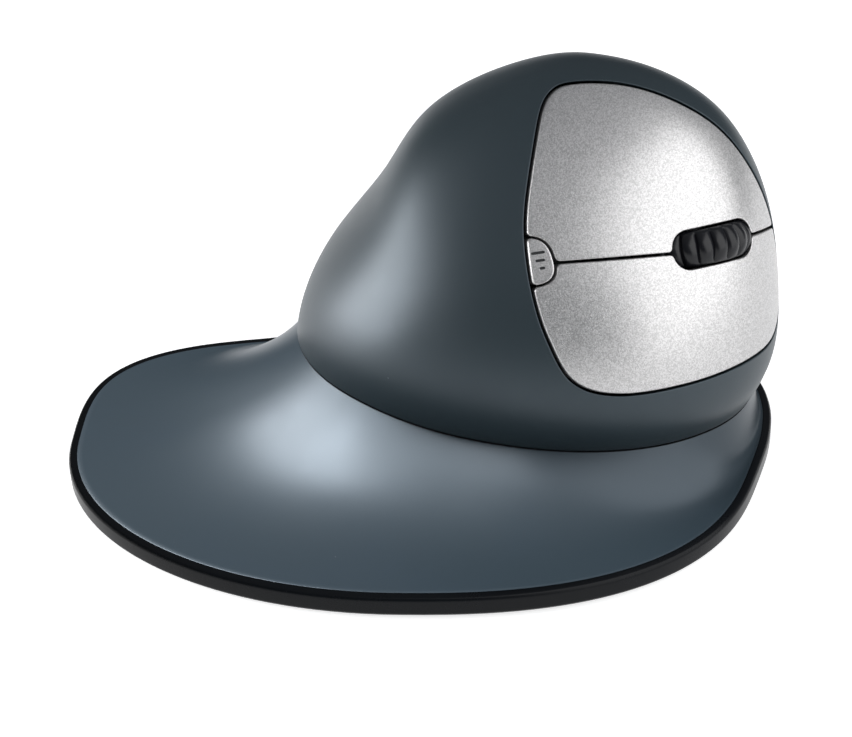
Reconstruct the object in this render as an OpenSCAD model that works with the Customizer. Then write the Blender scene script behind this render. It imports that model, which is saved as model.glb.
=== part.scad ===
// Vertical ergonomic mouse: a hand-high hump with two finger keys and a scroll
// wheel on its finger side, standing on a wide flared brim that carries the hand.
// +X is the finger side, +Y the nose, +Z up. The origin lies on the desk, under
// the middle of the whole mouse. All sizes are millimetres and degrees.

/* [Hump] */
// Length of the hump, heel to nose
hump_length = 92; // [90:1:104]
// Width of the hump, thumb side to finger side
hump_width = 62; // [60:1:72]
// Height of the crest above the desk
hump_height = 72; // [70:1:82]
// Turn of the hump on its brim, clockwise from above
hump_turn = 14; // [8:1:18]
// Lean of the crest towards the thumb
crest_lean = 10.5; // [8:0.5:12]
// Lean of the crest towards the nose
crest_forward = 9; // [7:0.5:11]
// Wall of the hump's shell
shell_wall = 2.2; // [1.6:0.1:2.6]

/* [Brim] */
// Height of the seam between hump and brim above the desk
seam_height = 12; // [11:0.5:14]
// Rise of the seam round the heel over its height on the finger side
seam_lift = 4.6; // [0:0.2:8]
// Reach of the brim past the hump on the finger side
finger_reach = 25.8; // [20:0.2:36]
// Reach of the brim behind the heel
heel_reach = 41.4; // [34:0.2:52]
// Reach of the brim's heel from the hump's middle to the thumb side
heel_side = 15.4; // [12:0.2:20]
// Ledge of the brim past the seam on the thumb side and at the nose
foot_ledge = 3; // [2.8:0.2:6]
// Thickness of the brim's cover
brim_wall = 1.8; // [1.2:0.1:2.2]
// How far the brim runs in under the edge of the hump
seam_lap = 1.6; // [1.2:0.1:2]
// Height of the open line between hump and brim
seam_gap = 0.6; // [0.3:0.1:1]
// Width of the black lip round the brim
lip_width = 2.4; // [1.8:0.1:2.8]
// Height of the lip's outer wall
lip_wall = 3.2; // [1.6:0.1:3.6]
// Rise of the lip from its wall to the brim
lip_rise = 1.3; // [1:0.1:2.6]

/* [Base] */
// Thickness of the base plate
plate_wall = 2; // [1.6:0.1:2.6]
// How far the glide feet stand out below the base plate
foot_proud = 0.7; // [0.4:0.1:1.2]
// Depth of the glide feet in their pockets
foot_seat = 0.5; // [0.3:0.1:0.8]
// Length of a glide foot
foot_length = 16; // [12:1:18]
// Width of a glide foot
foot_width = 6; // [4:0.5:8]

/* [Keys] */
// Wall of the finger keys
key_wall = 2; // [1.6:0.1:2.4]
// Open line round the finger keys
key_gap = 0.5; // [0.4:0.05:0.7]
// Open line between the two finger keys
divide_gap = 0.7; // [0.5:0.05:1]
// Press of a finger key at its switch
key_travel = 0.5; // [0.3:0.05:0.6]
// Radius of the pin that the finger keys turn on
pin_radius = 1.5; // [1.2:0.1:1.8]
// Radial clearance of pins and axles in their bores
running_fit = 0.08; // [0.05:0.01:0.1]
// Press of the small keys
small_travel = 0.4; // [0.3:0.05:0.5]

/* [Scroll wheel] */
// Radius of the scroll wheel over its tyre
wheel_radius = 11; // [10:0.5:12]
// Width of the tyre
tyre_width = 5.8; // [5:0.1:6.4]
// Thickness of the tyre
tyre_wall = 2.2; // [1.8:0.1:3]
// Ribs round the tyre
tyre_ribs = 22; // [18:1:30]
// How far the wheel stands out of the keys
wheel_proud = 2; // [1.6:0.1:2.6]
// Room between the wheel and the keys at each side
wheel_side_gap = 0.6; // [0.4:0.1:1]
// Room between the wheel and the keys at each end
wheel_end_gap = 0.8; // [0.6:0.1:1]

/* [Hidden] */
$fn = 48;

// Shape of the hump: rise of each section over the seam as a share of the hump's rise, then its reach to the
// finger side, thumb side, nose and heel as shares of half the hump's width and length
hump_sections = [
    [0.00, 0.91, 0.86, 0.945, 0.99],
    [0.13, 1.08, 0.85, 1.005, 0.965],
    [0.33, 1.13, 0.75, 0.985, 0.885],
    [0.57, 1.00, 0.68, 0.885, 0.715],
    [0.77, 0.75, 0.55, 0.72, 0.60],
    [0.92, 0.45, 0.36, 0.46, 0.34],
    [1.00, 0.00, 0.00, 0.00, 0.00]
];
hump_rise = hump_height - seam_height;
half_width = hump_width / 2;
half_length = hump_length / 2;
// Squareness of the hump in plan, where 2 is an ellipse
hump_square = 2.2;
// Sharpness of the lean of the hump's spine
lean_curve = 1.6;
top_section = len(hump_sections) - 1;

// Facets round and up the smooth skins
around = 96;
rings = 30;
coarse_around = 48;
coarse_rings = 18;

function blend(a, b, c, d, u) =
    0.5 * (2 * b + (c - a) * u + (2 * a - 5 * b + 4 * c - d) * u * u + (3 * b - a - 3 * c + d) * u * u * u);

// A section's row, mirrored past the crest so that the skin runs level over it
function row(k) =
    k < 0 ? 2 * hump_sections[0] - hump_sections[1]
    : k <= top_section ? hump_sections[k]
    : let (r = hump_sections[2 * top_section - k]) [r[0], -r[1], -r[2], -r[3], -r[4]];

function section(t) =
    let (k = min(floor(t), top_section - 1))
    blend(row(k - 1), row(k), row(k + 1), row(k + 2), t - k);

function rounded(c, square) = sign(c) * pow(abs(c), 2 / square);

// A point of the hump's skin in the hump's own frame: a is the turn from the finger side, t the section
function hump_point(a, t) =
    let (s = section(t), lean = pow(max(s[0], 0), lean_curve), c = cos(a), d = sin(a))
    [
        -crest_lean * lean + (c > 0 ? s[1] : s[2]) * half_width * rounded(c, hump_square),
        crest_forward * lean + (d > 0 ? s[3] : s[4]) * half_length * rounded(d, hump_square),
        seam_height + hump_rise * s[0]
    ];

function hump_normal(a, t) =
    let (
        turn_step = 1,
        rise_step = 0.02,
        n = cross(
            hump_point(a + turn_step, t) - hump_point(a - turn_step, t),
            hump_point(a, t + rise_step) - hump_point(a, t - rise_step)
        )
    )
    n / norm(n);

function hump_skin(a, t, inset) =
    inset == 0 ? hump_point(a, t) : hump_point(a, t) - inset * hump_normal(a, t);

// Quads between the rings of a grid, as triangles, with n points in each ring
function ring_faces(first, count, n) = [
    for (j = [0:count - 2], k = [0:n - 1])
        let (p = first + j * n, a = p + k, b = p + (k + 1) % n)
        each [[a, a + n, b], [b, a + n, b + n]]
];

// The hump as one closed body, inset by a wall and carried down below the seam by drop
module hump_solid(inset = 0, drop = 0, n = around, m = rings) {
    skin = [for (j = [0:m - 1], k = [0:n - 1]) hump_skin(360 * k / n, top_section * j / m, inset)];
    crest = hump_point(0, top_section) - [0, 0, inset];
    foot = [for (k = [0:n - 1]) [skin[k][0], skin[k][1], seam_height - drop]];
    points = concat(drop > 0 ? foot : [], skin, [crest]);
    layers = drop > 0 ? m + 1 : m;
    last = (layers - 1) * n;
    polyhedron(
        points,
        concat(
            [[for (k = [0:n - 1]) k]],
            ring_faces(0, layers, n),
            [for (k = [0:n - 1]) [last + k, layers * n, last + (k + 1) % n]]
        ),
        convexity = 6
    );
}

// The seam is level on the finger and thumb sides and climbs between these turns to run high round the heel
lift_turns = [246, 292, 326, 372];
function eased(x) =
    let (c = min(max(x, 0), 1)) c * c * (3 - 2 * c);
function lifted(a) =
    let (b = a < lift_turns[0] ? a + 360 : a)
    seam_lift * eased((b - lift_turns[0]) / (lift_turns[1] - lift_turns[0]))
    * eased((lift_turns[3] - b) / (lift_turns[3] - lift_turns[2]));
// Section at which the skin has risen by a share of the hump's rise, halving the span until it is found
function section_at(rise, near, far, tries) =
    let (mid = (near + far) / 2)
    tries == 0 ? mid
    : section(mid)[0] > rise ? section_at(rise, near, mid, tries - 1)
    : section_at(rise, mid, far, tries - 1);
function seam_point(a) =
    let (rise = lifted(a))
    hump_point(a, rise > 0 ? section_at(rise / hump_rise, 0, 2, 30) : 0);
// The hump above its seam, closed by a fan of faces under it
module hump_over_seam(n = around, m = rings) {
    starts = [
        for (k = [0:n - 1])
            let (rise = lifted(360 * k / n)) rise > 0 ? section_at(rise / hump_rise, 0, 2, 30) : 0
    ];
    skin = [
        for (j = [0:m - 1], k = [0:n - 1])
            hump_point(360 * k / n, starts[k] + (top_section - starts[k]) * j / m)
    ];
    last = (m - 1) * n;
    polyhedron(
        concat(skin, [hump_point(0, top_section), [0, 0, seam_height + seam_lift / 2]]),
        concat(
            [for (k = [0:n - 1]) [k, (k + 1) % n, m * n + 1]],
            ring_faces(0, m, n),
            [for (k = [0:n - 1]) [last + k, m * n, last + (k + 1) % n]]
        ),
        convexity = 6
    );
}

// Plan of the brim about the hump's middle: a lobe under the hand, and a ledge round the hump's foot.
// Its points crowd together behind the heel, where the lobe turns into the ledge
seam_crowd = 25;
seam_feet = [
    for (k = [0:around - 1])
        let (a = 360 * k / around, b = a - seam_crowd * sin(a - 270)) seam_point(b < 0 ? b + 360 : b % 360)
];
seam_plan = [for (p = seam_feet) turned([p[0], p[1]])];
bulge_plan = [
    for (j = [0:3 * top_section - 1], k = [0:around - 1])
        let (p = hump_point(360 * k / around, j / 3)) turned([p[0], p[1]])
];
function turned(p) = [
    p[0] * cos(hump_turn) + p[1] * sin(hump_turn),
    p[1] * cos(hump_turn) - p[0] * sin(hump_turn)
];
function lowest(list, i) = min([for (p = list) p[i]]);
function highest(list, i) = max([for (p = list) p[i]]);
lobe_low = [-heel_side, lowest(bulge_plan, 1) - heel_reach];
// How far the lobe stops short of the seam at the nose, where the ledge takes over
nose_tuck = 0.9;
lobe_high = [highest(bulge_plan, 0) + finger_reach, highest(seam_plan, 1) - nose_tuck];
// The lobe is widest at this share of its reach to the finger side
lobe_share = 0.3;
lobe_mid = [lobe_share * lobe_high[0], (lobe_low[1] + lobe_high[1]) / 2];
// Squareness of the lobe's four corners, where 2 is an ellipse
square_finger_nose = 2.4;
square_finger_heel = 2;
square_thumb_heel = 3.3;
square_thumb_nose = 2.3;
// Sharpness of the turn between lobe and ledge
ledge_merge = 14;

function corner_square(q) =
    q[0] > 0 ? (q[1] > 0 ? square_finger_nose : square_finger_heel)
    : (q[1] > 0 ? square_thumb_nose : square_thumb_heel);
function lobe_measure(p) =
    let (
        q = p - lobe_mid,
        e = corner_square(q),
        half = [q[0] > 0 ? lobe_high[0] - lobe_mid[0] : lobe_mid[0] - lobe_low[0], lobe_high[1] - lobe_mid[1]]
    )
    pow(abs(q[0]) / half[0], e) + pow(abs(q[1]) / half[1], e);
// Distance along a ray from the hump's middle to the lobe's edge, halving the span until it is found
function ray_to_lobe(dir, near, far, tries) =
    let (mid = (near + far) / 2)
    tries == 0 ? mid
    : lobe_measure(mid * dir) > 1 ? ray_to_lobe(dir, near, mid, tries - 1)
    : ray_to_lobe(dir, mid, far, tries - 1);
brim_plan = [
    for (s = seam_plan)
        let (
            foot = norm(s),
            lobe = ray_to_lobe(s / foot, 0, hump_length + heel_reach, 32),
            far = pow(pow(lobe, ledge_merge) + pow(foot + foot_ledge, ledge_merge), 1 / ledge_merge)
        )
        s / foot * far
];
whole_low = [
    min(lowest(brim_plan, 0), lowest(bulge_plan, 0)), min(lowest(brim_plan, 1), lowest(bulge_plan, 1))
];
whole_high = [
    max(highest(brim_plan, 0), highest(bulge_plan, 0)), max(highest(brim_plan, 1), highest(bulge_plan, 1))
];
// Where the hump's middle stands, so that the whole mouse is centred on the origin
hump_at = -(whole_low + whole_high) / 2;
// A plan moved to the frame of the mouse and drawn in square to itself
function plan_normal(plan, k) =
    let (n = len(plan), t = plan[(k + 1) % n] - plan[(k + n - 1) % n]) [t[1], -t[0]] / norm(t);
function drawn_in(plan, o) = [for (k = [0:len(plan) - 1]) hump_at + plan[k] - o * plan_normal(plan, k)];
function edge_inset(o) = drawn_in(brim_plan, o);
function seam_inset(lap) = drawn_in(seam_plan, lap);

// Heights of the base
plate_bottom = foot_proud;
plate_top = plate_bottom + plate_wall;
lip_step = 0.2;
lip_bottom = plate_bottom + lip_step;
lip_shoulder = lip_bottom + lip_wall;
lip_top = lip_shoulder + lip_rise;
lip_chamfer = 0.5;
touch = 0.1;

// Frame of the finger keys: origin on the skin at the wheel, u towards the nose, v up the hump, w outwards
wheel_turn = 59;
wheel_section = 3.4;
panel_turn = 49;
panel_tilt = 30;
panel_roll = 8;
panel_out = [cos(panel_tilt) * cos(panel_turn), cos(panel_tilt) * sin(panel_turn), sin(panel_tilt)];
panel_level = [-sin(panel_turn), cos(panel_turn), 0];
panel_rise = cross(panel_out, panel_level);
panel_u = cos(panel_roll) * panel_level - sin(panel_roll) * panel_rise;
panel_v = sin(panel_roll) * panel_level + cos(panel_roll) * panel_rise;
panel_at = hump_point(wheel_turn, wheel_section);

function frame(u, v, w, o) = [
    [u[0], v[0], w[0], o[0]],
    [u[1], v[1], w[1], o[1]],
    [u[2], v[2], w[2], o[2]],
    [0, 0, 0, 1]
];
module in_hump() {
    translate([hump_at[0], hump_at[1], 0]) rotate(-hump_turn) children();
}
module in_panel() {
    in_hump() multmatrix(frame(panel_u, panel_v, panel_out, panel_at)) children();
}

// Outline of the finger keys in their frame, through points chosen along its edge
panel_points = [
    [-12.5, 31.6], [-5.6, 29.9], [0.8, 26.2], [7.1, 20.4], [12, 12.8], [16, 4], [19, -7], [19.2, -15],
    [15.5, -20.2], [5.6, -22.5], [-8, -23.7], [-20, -23.1], [-27, -19.3], [-30.2, -11], [-31, -2],
    [-29.6, 8], [-26, 17.5], [-21, 26.5], [-16.8, 30.8]
];
function closed_curve(p, steps) =
    let (n = len(p))
    [
        for (k = [0:n - 1], j = [0:steps - 1])
            blend(p[(k + n - 1) % n], p[k], p[(k + 1) % n], p[(k + 2) % n], j / steps)
    ];
// The line between the keys runs level from the nose to the wheel and then climbs to the small key
divide_bend = -9;
divide_climb = 0.105;
// The small key is half an ellipse on the keys' rear edge
small_key_at = [-30.6, 2.7];
small_key_half = [3.5, 4.1];
small_key_gap = 0.4;
panel_depth = 26;
panel_front = 10;

module panel_outline(grow) {
    offset(r = grow) polygon(closed_curve(panel_points, 5));
}
module small_key_outline() {
    translate(small_key_at)
        polygon([for (k = [0:31]) [small_key_half[0] * cos(k * 11.25), small_key_half[1] * sin(k * 11.25)]]);
}
module above_divide() {
    far = 60;
    offset(delta = -divide_gap / 2)
        polygon([
            [-far, divide_climb * (far + divide_bend)], [divide_bend, 0], [far, 0], [far, far], [-far, far]
        ]);
}
module below_divide() {
    far = 60;
    offset(delta = -divide_gap / 2)
        polygon([
            [-far, divide_climb * (far + divide_bend)], [divide_bend, 0], [far, 0], [far, -far], [-far, -far]
        ]);
}
module key_outline(upper) {
    difference() {
        intersection() {
            panel_outline(-key_gap / 2);
            if (upper) above_divide();
            else below_divide();
        }
        offset(r = small_key_gap) small_key_outline();
    }
}
module panel_prism() {
    translate([0, 0, -panel_depth]) linear_extrude(panel_depth + panel_front) children();
}

// Depths behind the skin at the wheel, along the frame of the finger keys
wheel_drop = wheel_radius - wheel_proud;
board_wall = 1.2;
board_depth = 18;
board_back = board_depth + board_wall;
switch_size = [12.8, 5.8, 6.5];
switch_at = [0.4, 15];
plunger_at = [2, 15];
plunger_radius = 0.9;
plunger_length = 1.8;
plunger_proud = 0.15;
plunger_rest = -board_depth + switch_size[2] + key_travel + plunger_proud;
hinge_u = -21;
// Room between the switch board and the pin behind it
pin_room = 1.3;
hinge_depth = board_back + pin_room + pin_radius;
lug_radius = 2.6;
lug_width = 3;
upper_lugs = [8.5, 14];
lower_lugs = [-16.5, -7];
hinge_bar_low = hinge_u - 1.5;
hinge_bar_width = 5;
// How far the hinges' bars stand before their pin
hinge_bar_rise = 5;
hinge_bar_depth = hinge_depth - hinge_bar_rise;
hinge_bar_wall = 1.5;
press_clearance = 0.1;
chassis_wall = 2;
// Room between the hinges and the chassis plate behind them
lug_room = 0.4;
chassis_depth = hinge_depth + lug_radius + lug_room;
chassis_low = [-24, -15];
chassis_high = [11.5, 14.5];

// One finger key: a curved plate of the hump's skin, with two hinge arms, ribs and a nub over its switch
module finger_key(upper) {
    side = upper ? 1 : -1;
    lugs = upper ? upper_lugs : lower_lugs;
    rib_places = [-14, -8, -3, 6.5, 12];
    rib_wall = 1.2;
    rib_depth = 1.6;
    rib_inset = 1.5;
    color("silver") union() {
        difference() {
            intersection() {
                in_hump() hump_solid();
                in_panel() panel_prism() key_outline(upper);
            }
            in_hump() hump_solid(key_wall, 1, coarse_around, coarse_rings);
            wheel_well();
        }
        intersection() {
            in_hump() hump_solid(key_wall / 2, 1, coarse_around, coarse_rings);
            in_panel() {
                for (v = lugs) key_boss(v);
                key_nub(side);
            }
        }
        difference() {
            intersection() {
                in_hump() hump_solid(key_wall / 2, 1, coarse_around, coarse_rings);
                in_panel() panel_prism() offset(r = -rib_inset) key_outline(upper);
                in_panel() for (u = rib_places) key_rib(u, side, rib_wall);
            }
            in_hump() hump_solid(key_wall + rib_depth, 1, coarse_around, coarse_rings);
        }
    }
}
module key_rib(u, side, wall) {
    reach = [9, 32];
    hull() for (v = reach) translate([u - wall / 2, side * v, -panel_depth]) cube([wall, wall, panel_depth]);
}
module key_boss(v) {
    hull() {
        translate([hinge_bar_low, v, -hinge_bar_depth]) cube([hinge_bar_width, lug_width, 1]);
        translate([hinge_bar_low, v, -1]) cube([hinge_bar_width, lug_width, 1]);
    }
}
module key_nub(side) {
    nub = 3;
    hull() {
        translate([plunger_at[0] - nub / 2, side * plunger_at[1] - nub / 2, plunger_rest + press_clearance])
            cube([nub, nub, 1]);
        translate([plunger_at[0] - nub / 2, side * plunger_at[1] - nub / 2, 0]) cube([nub, nub, 1]);
    }
}
module upper_key() {
    finger_key(true);
}
module lower_key() {
    finger_key(false);
}

// The small key that sets the pointer's speed, with a stem over its switch
small_stem_at = [-28.4, 2.7];
small_stem_radius = 1;
small_switch_size = [3.2, 4.5, 3];
tact_stem_radius = 1;
stem_room = 0.4;
tact_stem_rise = small_travel + stem_room;
// The small key's body ends this far over its foot on the switch's stem
small_foot_rise = 0.1;
small_key_floor =
    -board_depth + small_switch_size[2] + tact_stem_rise + press_clearance + small_foot_rise;
module sensitivity_key() {
    color("silver") union() {
        hull()
            intersection() {
                in_hump() hump_solid();
                in_panel() translate([0, 0, small_key_floor]) linear_extrude(panel_front - small_key_floor)
                    intersection() {
                        panel_outline(-key_gap / 2);
                        small_key_outline();
                    }
            }
        in_panel() translate([small_stem_at[0], small_stem_at[1], small_key_floor - small_foot_rise])
            cylinder(r = small_stem_radius, h = small_foot_rise + 0.5);
    }
}

// A rounded patch of the hump's skin from depth near to depth far
module skin_patch(turn_mid, section_mid, turn_half, section_half, near, far) {
    n = 40;
    m = 6;
    square = 5;
    flat = [
        for (j = [1:m], k = [0:n - 1])
            let (a = 360 * k / n, f = j / m)
            [
                turn_mid + turn_half * f * rounded(cos(a), square),
                section_mid + section_half * f * rounded(sin(a), square)
            ]
    ];
    outer = [for (p = flat) hump_skin(p[0], p[1], near)];
    inner = [for (p = flat) hump_skin(p[0], p[1], far)];
    count = n * m;
    points = concat(
        outer, inner, [hump_skin(turn_mid, section_mid, near), hump_skin(turn_mid, section_mid, far)]
    );
    edge = count - n;
    in_hump() polyhedron(
        points,
        concat(
            [for (f = ring_faces(0, m, n)) [f[2], f[1], f[0]]],
            ring_faces(count, m, n),
            [for (k = [0:n - 1]) [2 * count, (k + 1) % n, k]],
            [for (k = [0:n - 1]) [2 * count + 1, count + k, count + (k + 1) % n]],
            [
                for (k = [0:n - 1])
                    let (a = edge + k, b = edge + (k + 1) % n)
                    each [[a, b, a + count], [b, b + count, a + count]]
            ]
        ),
        convexity = 4
    );
}

// Thumb keys: two patches of the skin, side by side, that slide in towards their switches
thumb_turn = 172;
thumb_section = 2.35;
thumb_key_length = 15.5;
thumb_key_height = 8;
thumb_gap = 0.45;
thumb_at = hump_point(thumb_turn, thumb_section);
thumb_turn_speed =
    norm(hump_point(thumb_turn + 0.5, thumb_section) - hump_point(thumb_turn - 0.5, thumb_section));
thumb_rise_speed =
    norm(hump_point(thumb_turn, thumb_section + 0.05) - hump_point(thumb_turn, thumb_section - 0.05)) / 0.1;
thumb_turn_half = thumb_key_length / 2 / thumb_turn_speed;
thumb_rise_half = thumb_key_height / 2 / thumb_rise_speed;
thumb_turn_step = (thumb_key_length + thumb_gap) / 2 / thumb_turn_speed;
thumb_front_turn = thumb_turn - thumb_turn_step;
thumb_rear_turn = thumb_turn + thumb_turn_step;
thumb_stem_radius = 1.5;
// The thumb switches' board stands square to the hump's own X, this far in from the shell between the keys
thumb_board_room = 5.4;
thumb_board_x = thumb_at[0] + shell_wall + thumb_board_room;
thumb_switch_size = [3, 4.5, 4.5];

module thumb_key(turn) {
    mid = hump_point(turn, thumb_section);
    stem_foot = thumb_board_x - thumb_switch_size[0] - tact_stem_rise - press_clearance;
    color("#3c464d") union() {
        skin_patch(turn, thumb_section, thumb_turn_half, thumb_rise_half, 0, key_wall);
        in_hump() translate([mid[0] + key_wall / 2, mid[1], mid[2]]) rotate([0, 90, 0])
            cylinder(r = thumb_stem_radius, h = stem_foot - mid[0] - key_wall / 2);
    }
}
module thumb_opening(turn) {
    skin_patch(
        turn, thumb_section, thumb_turn_half + thumb_gap / thumb_turn_speed,
        thumb_rise_half + thumb_gap / thumb_rise_speed, -2, shell_wall + 1.5
    );
}
module thumb_front_key() {
    thumb_key(thumb_front_turn);
}
module thumb_rear_key() {
    thumb_key(thumb_rear_turn);
}

// Screws: round head with a cross recess, shank towards -Z from the origin under the head
head_height = 1.2;
recess_depth = 0.7;
recess_width = 0.5;
module screw(shank, head, length) {
    difference() {
        union() {
            cylinder(r = head, h = head_height);
            translate([0, 0, -length]) cylinder(r = shank, h = length + head_height / 2);
        }
        for (a = [0, 90]) rotate(a)
            translate([-head * 0.6, -recess_width / 2, head_height - recess_depth])
                cube([head * 1.2, recess_width, recess_depth + 1]);
    }
}
thread_fit = 0.05;
screw_hole_fit = 0.2;
case_shank = 1.25;
case_head = 2.3;
small_shank = 0.8;
small_head = 1.7;
plate_shank = 1;
plate_head = 1.9;
case_extra_sink = 0.7;
// Depth under the plate's bottom at which the heads of the screws from below rest
sink_depth = head_height + 0.1;

// Posts of the hump, in its own frame, drawn in from the seam
post_turns = [50, 130, 200, 340];
post_inset = 6.5;
post_radius = 3.2;
post_boss_radius = 4;
post_bottom = plate_top + 2;
post_top = 16;
post_screw_length = 10;
post_blind = 1.5;
function post_at(a) =
    let (
        t = hump_point(a + 1, 0) - hump_point(a - 1, 0),
        n = [t[1], -t[0], 0] / norm(t),
        p = hump_point(a, 0) - post_inset * n
    )
    [p[0], p[1]];

module body_shell() {
    rib_wall = 1.4;
    rib_reach = 16;
    rib_lift = 1.5;
    rib_spread = 25;
    color("#3c464d") difference() {
        union() {
            difference() {
                in_hump() hump_over_seam();
                in_hump() hump_solid(shell_wall, 1, coarse_around, coarse_rings);
            }
            intersection() {
                in_hump() hump_solid(shell_wall / 2, seam_height - 1, coarse_around, coarse_rings);
                in_hump() for (a = post_turns) translate(post_at(a)) {
                    rib_bottom = seam_height + lifted(a) + rib_lift;
                    rib_height = post_top - seam_height - rib_lift;
                    translate([0, 0, post_bottom])
                        cylinder(r = post_radius, h = rib_bottom + rib_height - post_bottom);
                    for (b = [-rib_spread, rib_spread]) rotate(a + b)
                        translate([0, -rib_wall / 2, rib_bottom]) cube([rib_reach + 1, rib_wall, rib_height]);
                }
            }
        }
        in_panel() panel_prism() panel_outline(key_gap / 2);
        thumb_opening(thumb_front_turn);
        thumb_opening(thumb_rear_turn);
        in_hump() {
            for (a = post_turns) translate([post_at(a)[0], post_at(a)[1], post_bottom - 1])
                cylinder(r = case_shank + thread_fit, h = post_screw_length + 1);
            translate([0, socket_front - 4, socket_middle]) rotate([-90, 0, 0])
                linear_extrude(20) offset(r = socket_size[2] / 2 + 0.3)
                    square([socket_size[0] - socket_size[2], 0.01], center = true);
        }
    }
}

// Closed sweep through rings of points that go up the outside, over the top and down the inside
module closed_sweep(loops) {
    n = len(loops[0]);
    m = len(loops);
    polyhedron(
        [for (loop = loops) each loop],
        [
            for (j = [0:m - 1], k = [0:n - 1])
                let (a = j * n + k, b = j * n + (k + 1) % n, up = ((j + 1) % m - j) * n)
                each [[a, a + up, b], [b, a + up, b + up]]
        ],
        convexity = 8
    );
}
function raised(plan, z) = [for (p = plan) [p[0], p[1], z]];

module rim_band() {
    profile = [
        [lip_chamfer, plate_bottom], [0, lip_bottom + lip_chamfer], [0, lip_shoulder],
        [lip_chamfer, lip_shoulder + lip_chamfer * 1.4], [lip_width, lip_top], [lip_width, plate_bottom]
    ];
    color("#12171d") closed_sweep([for (p = profile) raised(edge_inset(p[0]), p[1])]);
}

// Flare of the brim between its lip and the seam: 1 is a straight slope
flare_curve = 2.8;
flare_steps = 10;
under_steps = 5;
module brim_cover() {
    outer = edge_inset(lip_width + touch);
    inner = seam_inset(seam_lap);
    tops = [for (p = seam_feet) p[2] - seam_gap];
    count = around - 1;
    widths = [for (k = [0:count]) norm(inner[k] - outer[k])];
    walls = [for (w = widths) min(brim_wall, 0.35 * w)];
    function flare(k, f) = lip_top + (tops[k] - lip_top) * pow(max(f, 0), flare_curve);
    upper = [
        for (j = [0:flare_steps])
            [
                for (k = [0:count])
                    let (f = j / flare_steps, p = outer[k] + f * (inner[k] - outer[k]))
                    [p[0], p[1], flare(k, f)]
            ]
    ];
    lower = [
        for (j = [under_steps:-1:0])
            [
                for (k = [0:count])
                    let (
                        edge = walls[k] / widths[k],
                        f = edge + (1 - 2 * edge) * j / under_steps,
                        p = outer[k] + f * (inner[k] - outer[k])
                    )
                    [p[0], p[1], flare(k, f - edge) - walls[k]]
            ]
    ];
    inner_foot = [for (k = [0:count]) let (p = lower[0][k]) [p[0], p[1], plate_top]];
    outer_foot = [for (k = [0:count]) let (p = lower[under_steps][k]) [p[0], p[1], plate_top]];
    color("#434d54") closed_sweep(concat(
        [raised(outer, plate_top)], upper, [raised(inner, plate_top), inner_foot], lower, [outer_foot]
    ));
}

// Base: feet, main board, sensor, power switch, battery and charging socket
main_board_z = plate_top + 4;
main_board_top = main_board_z + board_wall;
board_low = [-16.5, -18.5];
board_high = [11, 18.5];

// Flat lead from the switch board's connector down to the main board's, bent in a plane square to u
ribbon_u = -9;
ribbon_width = 7;
ribbon_wall = 0.4;
ribbon_start = [board_low[1] - 0.2, -board_back - 0.75];
ribbon_back = 23;
lead_block = [10, 4, 2];
lead_proud = 0.8;
ribbon_foot = main_board_top + lead_block[2] + lead_proud;
ribbon_steps = 20;
// In-plane place that lies ribbon_back behind the start, at the height of the foot
ribbon_level = [cos(panel_turn), sin(panel_turn), 0];
ribbon_run = [panel_v * ribbon_level, panel_out * ribbon_level];
ribbon_climb = [panel_v[2], panel_out[2]];
ribbon_far = ribbon_run * ribbon_start - ribbon_back;
ribbon_low = ribbon_foot - panel_at[2] - ribbon_u * panel_u[2];
ribbon_span = ribbon_run[0] * ribbon_climb[1] - ribbon_run[1] * ribbon_climb[0];
ribbon_stop = [
    (ribbon_far * ribbon_climb[1] - ribbon_run[1] * ribbon_low) / ribbon_span,
    (ribbon_run[0] * ribbon_low - ribbon_far * ribbon_climb[0]) / ribbon_span
];
ribbon_end = panel_place([ribbon_u, ribbon_stop[0], ribbon_stop[1]]);
// The main board lies under the lead's end, with the lead's socket at this place on it
lead_socket = [-1.74, 6.07];
board_at = [ribbon_end[0], ribbon_end[1]] - lead_socket;

// Places of the feet round the brim's edge, as shares of its points
foot_shares = [0.13, 0.315, 0.6, 0.815, 0];
foot_inset = 13;
foot_fit = 0.15;
function stadium(length, width) = [
    for (k = [0:25])
        let (a = (k - (k < 13 ? 0 : 1)) * 180 / 12 - 90, s = k < 13 ? 1 : -1)
        [s * (length - width) / 2 + width / 2 * cos(a), width / 2 * sin(a)]
];
module at_feet() {
    for (f = foot_shares) {
        k = floor(f * around);
        n = plan_normal(brim_plan, k);
        translate(edge_inset(foot_inset)[k]) rotate(atan2(n[1], n[0]) + 90) children();
    }
}
module glide_feet() {
    color("#2a2d30") at_feet()
        linear_extrude(foot_proud + foot_seat) polygon(stadium(foot_length, foot_width));
}

main_board_low = board_at + [-12, -15.8];
main_board_high = board_at + [15.5, 8.5];
main_screw_places = [for (p = [[-9.5, -13.3], [13, -13.3], [13, 6], [-9.5, 6]]) board_at + p];
main_screw_length = 4.5;
standoff_radius = 2.2;
sensor_at = board_at + [2, -2];
window_radius = 5;
lens_flange_radius = 7;
lens_flange_wall = 1.4;
lens_fit = 0.3;
sensor_size = [10, 12, 3];
sensor_eye_radius = 2.2;

power_at = board_at + [12, -4];
power_size = [4, 9, 2.6];
power_travel = 3;
power_knob = [3, 3.5];
power_flange = [3.8, 6];
power_stem = 1.2;
power_fit = 0.3;
power_rest = -power_travel / 2;

tray_wall = 1.2;
tray_floor = 0.8;
tray_height = 5;
// The battery fills the room between the heel and the main board
pack_heel = 0.76;
pack_room = 2.2;
pack_low = [-13, -pack_heel * half_length];
pack_size = [26, main_board_low[1] - pack_room - pack_low[1], 6.5];
pack_fit = 0.2;

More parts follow.
